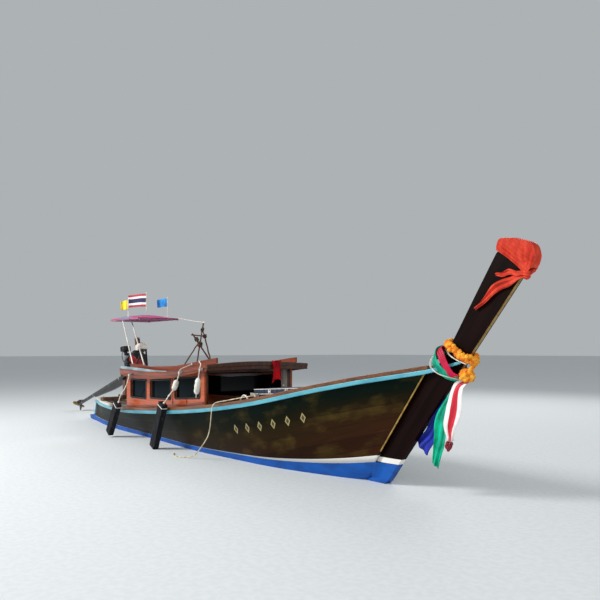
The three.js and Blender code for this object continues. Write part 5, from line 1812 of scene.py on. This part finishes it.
@dataclass
class BowDressing:
    """Ribbons, garland, streamers and the cloth that dress the stem."""

    flowers: int = 0
    # Points of the two white strings round the starboard side of the stem
    strings: tuple[tuple[Triple, ...], ...] = (
        ((5110, 0, 1600), (5100, -120, 1556), (5110, -162, 1462), (5200, -156, 1386), (5320, -118, 1344),
         (5420, -40, 1318)), ((5216, -40, 1672), (5344, -116, 1584), (5440, -128, 1536), (5548, -104, 1488)))

    def build(self) -> None:
        """Builds everything that is tied to the stem."""
        self.ribbons()
        self.garland()
        self.streamers()
        self.tip()

    def band(self, name: str, finish: Finish, port: Sequence[Triple], front: Triple, back: Triple, width: float,
             pleats: int, taper: float) -> Piece:
        """Winds a wide pleated ribbon round the stem, gathered narrower in front.

        Args:
            name: Name of the piece.
            finish: Its cloth.
            port: Points of its middle down the port side, from the back to the front.
            front: Point in front of the stem.
            back: Point behind the stem.
            width: Width of the ribbon in millimetres.
            pleats: Number of pleats side by side.
            taper: Share of the width that it loses in front.

        Returns:
            The piece.
        """
        loop = [back, *port, front, *[(x, -y, z) for x, y, z in reversed(port)], back]
        route = Spline(tuple(loop)).spread(72)[:-1]
        down = (at(*front) - at(*back)).normalized()
        across = Vector((-down.z, 0, down.x))
        path = [p + across * 5 * sin(k * 0.26) * MM for k, p in enumerate(route)]
        bm = bmesh.new()
        sweep(bm, path, pleated(width, pleats), up=-down, looped=True, size=lambda s: 1 - taper * sin(pi * s) ** 3)
        return place(name, bm, finish, crease=60)

    def ribbons(self) -> None:
        """Builds the crimson and green bands, the loose coral end and the white strings."""
        crimson = self.band("crimson_band", CRIMSON, ((5212, 130, 1648), (5258, 158, 1590), (5300, 164, 1510),
            (5348, 148, 1428), (5386, 112, 1372)), (5424, 0, 1344), (5186, 0, 1662), 96, 3, 0.3)
        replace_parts(crimson, "stem_ribbons")
        self.band("green_band", GREEN, ((5126, 96, 1590), (5146, 134, 1534), (5180, 142, 1464), (5256, 126, 1394),
            (5336, 88, 1344)), (5390, 0, 1318), (5118, 0, 1612), 205, 4, 0.5)
        bm = bmesh.new()
        for shift in (0, 14):
            for string, steps in zip(self.strings, (36, 24)):
                sweep(bm, Spline(tuple((x + shift, y, z) for x, y, z in string)).spread(steps), ring(3.4, 8))
        place("white_strings", bm, CORD, crease=60)

        def shape(u: float, v: float) -> Vector:
            """Returns the cloth's point at two shares of its cut."""
            x = mix(5075, 4960, u) + 10 * sin(v * 4)
            y = 62 + 66 * sin(u * 1.9) + 7 * sin(v * 16)
            return at(x, y, 1592 - 42 * v + 14 * sin(u * 5))
        sheet("coral_ribbon_end", CORAL, shape, flat=(0.06, 0.16),
            steps=(16, 10), thick=1.6)

    def bloom(self, bm: Mesh, middle: Vector, radius: float) -> None:
        """Adds one ruffled flower head.

        Args:
            bm: Mesh that gets the head.
            middle: Its middle in metres.
            radius: Its radius in millimetres.
        """
        self.flowers += 1
        turn = Matrix.Rotation(self.flowers * 2.4, 4, (0.3, 0.5, 0.81))
        made = bmesh.ops.create_icosphere(bm, subdivisions=2, radius=radius * MM,
            matrix=Matrix.Translation(middle) @ turn)["verts"]
        for vert in made:
            away = vert.co - middle
            vert.co = middle + away * (1 + 0.3 * noise.noise(vert.co * 110) + 0.07 * sin(away.z * 700))

    def garland(self) -> None:
        """Strings rows of marigold heads round the stem, with a bunch of them in front."""
        bm = bmesh.new()
        rng = random.Random(7)
        side = ((5262, 50, 1714), (5322, 90, 1690), (5400, 98, 1642), (5480, 94, 1592), (5556, 74, 1550),
            (5600, 30, 1528))
        for sign in (-1, 1):
            route = Spline(((5250, 0, 1716), *[(x, sign * y, z) for x, y, z in side], (5608, 0, 1524)))
            for row in (-21, 21):
                for i in range(13):
                    share = (i + 0.5 * (row > 0)) / 13
                    ahead = route.heading(min(max(share, 0.01), 0.99))
                    out = Vector((ahead.z, 0, -ahead.x)).normalized() * row * MM
                    jitter = Vector([rng.uniform(-0.008, 0.008) for _ in range(3)])
                    self.bloom(bm, route.at(share) + out + jitter, 32 * rng.uniform(0.8, 1.15))
        drop = Spline(((5604, -14, 1510), (5580, -16, 1460), (5540, -14, 1418)))
        for point in drop.spread(4):
            self.bloom(bm, point, 29)
        for i in range(26):
            level = 1 - (i + 0.5) / 13
            wide = sqrt(1 - level ** 2)
            turn = i * 2.4
            self.bloom(bm, at(5502 + 68 * wide * cos(turn), -12 + 56 * wide * sin(turn),
                1366 + 52 * level - 8 * cos(turn)), 31 * rng.uniform(0.8, 1.15))
        heads = place("marigold_heads", bm, MARIGOLD, crease=70)
        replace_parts(heads, "garland")

    def streamers(self) -> None:
        """Hangs the three satin streamers from their knot in front of the stem, drawn aft by the wind."""
        knot = (5475, 0, 1306)
        bm = bmesh.new()
        for i, radius in enumerate((27, 24, 20)):
            path = [at(knot[0] + radius * cos(t), knot[1] + radius * 0.8 * sin(t),
                knot[2] + (i - 1) * 17 + 3 * sin(2 * t)) for t in angles(18)]
            sweep(bm, path, ring(10, 8), looped=True)
        knots = place("streamer_knot", bm, RED, crease=60)
        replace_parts(knots, "streamers")
        # Columns: name, finish, rows of x, y, z and width down the streamer, width and length of the cut
        for name, finish, rows, flat in (
                ("white_red", WHITE_RED, ((5470, -8, 1300, 60), (5412, -38, 1230, 150), (5356, -62, 1000, 205),
                                          (5326, -66, 820, 190), (5310, -62, 690, 130), (5302, -60, 634, 84)),
                 (0.17, 0.71)),
                ("green", GREEN, ((5462, -4, 1306, 50), (5330, -18, 1180, 100), (5212, -30, 950, 150),
                                  (5150, -26, 760, 170), (5112, -22, 560, 165), (5076, -18, 322, 96)), (0.17, 1.07)),
                ("violet", VIOLET, ((5455, 4, 1300, 40), (5270, 16, 1150, 70), (5070, 30, 880, 120),
                                    (4980, 34, 720, 160), (4900, 34, 590, 200), (4830, 30, 490, 205)), (0.18, 1.02))):
            self.ribbon(f"streamer_{name}", finish, rows, flat, (36, 90))
        bm = bmesh.new()
        for turn in range(5):
            way = Vector((cos(turn * 1.3), sin(turn * 1.3), 0))
            wide, high = 0.034 - 0.002 * turn, 0.022 + 0.009 * sin(turn * 2.2)
            path = [at(5300 - 4 * turn, -58, 602 - 11 * turn) + way * cos(t) * wide + UP * sin(t) * high
                for t in angles(18)]
            sweep(bm, path, ring(14, 8), up=way, size=lambda s: 1 + 0.3 * sin(s * 19), looped=True)
        place("streamer_end_knot", bm, MAROON, crease=60)

    def ribbon(self, name: str, finish: Finish, rows: Sequence[tuple[float, ...]], flat: tuple[float, float],
               steps: tuple[int, int]) -> None:
        """Hangs a strip of cloth whose middle and width follow a table of rows, with deep soft folds.

        Args:
            name: Name of the piece.
            finish: Its cloth.
            rows: Points and widths in millimetres, from its held end.
            flat: Width and length of the cut in metres.
            steps: Faces across and along.
        """
        route = Spline(tuple(row[:3] for row in rows))
        widths = [(i / (len(rows) - 1), row[3]) for i, row in enumerate(rows)]
        phase = len(name)
        deep = flat[1] * 0.9

        def shape(u: float, v: float) -> Vector:
            """Returns the cloth's point at two shares of its cut."""
            s = 1 - v
            ahead = route.heading(min(max(s, 0.01), 0.99))
            across = Vector((ahead.z, 0, -ahead.x)).normalized()
            fold = sin(u * 11 + s * 5 + phase) * (0.35 + 0.65 * s) * deep
            drift = 0.010 * sin(s * 13 + phase)
            point = route.at(s) + across * ((0.5 - u) * read(widths, s) * MM + 0.012 * fold + drift)
            point.y += 0.020 * fold + 0.010 * sin(s * 9 + u * 4)
            point.z += 0.016 * sin(u * 3.1 + phase) * s * s * deep
            return point
        sheet(name, finish, shape, flat=flat, steps=steps, thick=1.6)

    def tip(self) -> None:
        """Draws the coral cloth over the stem's tip, its folds gathered to a knot in front, its tails blown aft."""
        knot = at(6246, -34, 2388)
        rim = Spline(((5900, 0, 2672), (5910, 0, 2736), (5942, 0, 2786), (6035, 0, 2774), (6150, 0, 2752),
            (6240, 0, 2724), (6310, 0, 2682), (6346, 0, 2622), (6352, 0, 2575), (6340, 0, 2520), (6300, 0, 2450)))

        def shape(u: float, v: float) -> Vector:
            """Returns the cloth's point at two shares of its cut."""
            side = -1 if v < 0.5 else 1
            share = abs(2 * v - 1)
            down = max(0, share - 0.14) / 0.86
            wide = sin(min(1, share / 0.14) * pi / 2)
            gather = at(6232 + 16 * u, side * (44 - 12 * side), 2398 - 8 * u)
            point = rim.at(u).lerp(gather, down)
            off = ((point.x - 5.9) * 0.634 + (point.z - 2.672) * 0.773) * 1000
            ray = atan2(point.z - gather.z, gather.x - point.x)
            fold = (20 * exp(-max(off, 0) / 150) * (abs(sin(off * 0.08 + side)) - 0.4) * min(1, share * 3)
                + 14 * noise.noise(Vector((point.x * 9, side, point.z * 11))) * min(1, max(off, 0) / 60)
                + 12 * (abs(sin(ray * 9 + side)) - 0.5) * min(1, max(off, 0) / 90)
                ) * sin(pi * min(down + 0.1, 1)) ** 0.5
            away = 52 + 9 * sin(pi * down) + fold
            point.y = mix(side * away * wide * MM, gather.y, down ** 3)
            point.z += (0.010 * (1 - wide) + 0.022 * (1 - u) ** 3 * sin(pi * down) + 0.004 * sin(u * 23) * (1 - down))
            return point
        sheet("tip_cloth_cap", CORAL, shape, flat=(0.56, 0.52),
            steps=(150, 160), thick=3, replaced=("tip_cloth",))
        bm = bmesh.new()
        for i, (radius, rise) in enumerate(((30, 24), (32, -2), (24, -28))):
            path = [knot + Vector((radius * MM * 0.8 * cos(t), radius * MM * 1.1 * sin(t),
                rise * MM + 0.006 * sin(2 * t))) for t in angles(18)]
            sweep(bm, path, ring(15, 8), looped=True)
        place("tip_cloth_knot", bm, CORAL, crease=60)
        for name, rows, flat in (
                ("long", ((6232, -62, 2384, 50), (6140, -80, 2352, 74), (6030, -82, 2326, 96), (5900, -78, 2258, 96),
                          (5780, -74, 2178, 70), (5650, -70, 2072, 26)), (0.10, 0.67)),
                ("short", ((6232, -64, 2398, 46), (6140, -84, 2412, 62), (6030, -84, 2420, 56), (5915, -78, 2410, 22)),
                 (0.07, 0.33))):
            self.ribbon(f"tip_cloth_tail_{name}", CORAL, rows, flat, (14, 44))


@dataclass
class Studio:
    """Camera at the photograph's place, soft lights and a pale floor at the waterline."""

    camera: Triple = (9.94, -5.78, 1.63)
    heading: Triple = (-0.788, 0.616, 0.0)
    lens: float = 39.0
    rise: float = 0.085
    floor: float = 400.0

    def build(self) -> None:
        """Makes the camera, the floor, the lights and the world."""
        data = bpy.data.cameras.new("camera")
        data.lens, data.sensor_width, data.shift_y, data.clip_end = self.lens, 36.0, self.rise, 1000.0
        camera = added("camera", data)
        camera.location = self.camera
        camera.rotation_euler = Vector(self.heading).to_track_quat("-Z", "Y").to_euler()
        bpy.context.scene.camera = camera
        bm = bmesh.new()
        bmesh.ops.create_grid(bm, x_segments=2, y_segments=2, size=self.floor / 2)
        mesh = bpy.data.meshes.new("floor")
        bm.to_mesh(mesh)
        bm.free()
        floor = added("floor", mesh)
        mesh.materials.append(Finish("matt_studio_floor", "", "#d9dcdc", "#d3d7d8", 0.9).material())
        for name, where, size, watts in (("key", (-4, -13, 11), 6, 2750), ("fill", (15, -9, 7), 9, 500),
                                         ("rim", (-2, 13, 10), 8, 700)):
            self.light(name, Vector(where), size, watts)
        world = bpy.data.worlds.new("studio")
        world.use_nodes = True
        world.node_tree.nodes["Background"].inputs[0].default_value = linear("#e8eef2")
        world.node_tree.nodes["Background"].inputs[1].default_value = 0.52
        bpy.context.scene.world = world
        bpy.context.scene.view_settings.view_transform = "Standard"

    def light(self, name: str, where: Vector, size: float, watts: float) -> None:
        """Adds a square soft light that faces the cabin.

        Args:
            name: Name of the light.
            where: Its place in metres.
            size: Its side in metres.
            watts: Its power.
        """
        data = bpy.data.lights.new(name, "AREA")
        data.size, data.energy = size, watts
        lamp = added(name, data)
        lamp.location = where
        lamp.rotation_euler = (UP - where).to_track_quat("-Z", "Y").to_euler()


def main() -> None:
    """Builds each part in order: camera and cords come first."""
    logging.basicConfig(level=logging.INFO, format="%(message)s")
    parts = Studio(), MooringRope(), Hull(), Foredeck(), Cabin(), RoofGear(), Engine(), Sunshade(), BowDressing()
    for part in parts:
        part.build()
        LOG.info("%s is built", type(part).__name__)


if __name__ == "__main__":
    main()
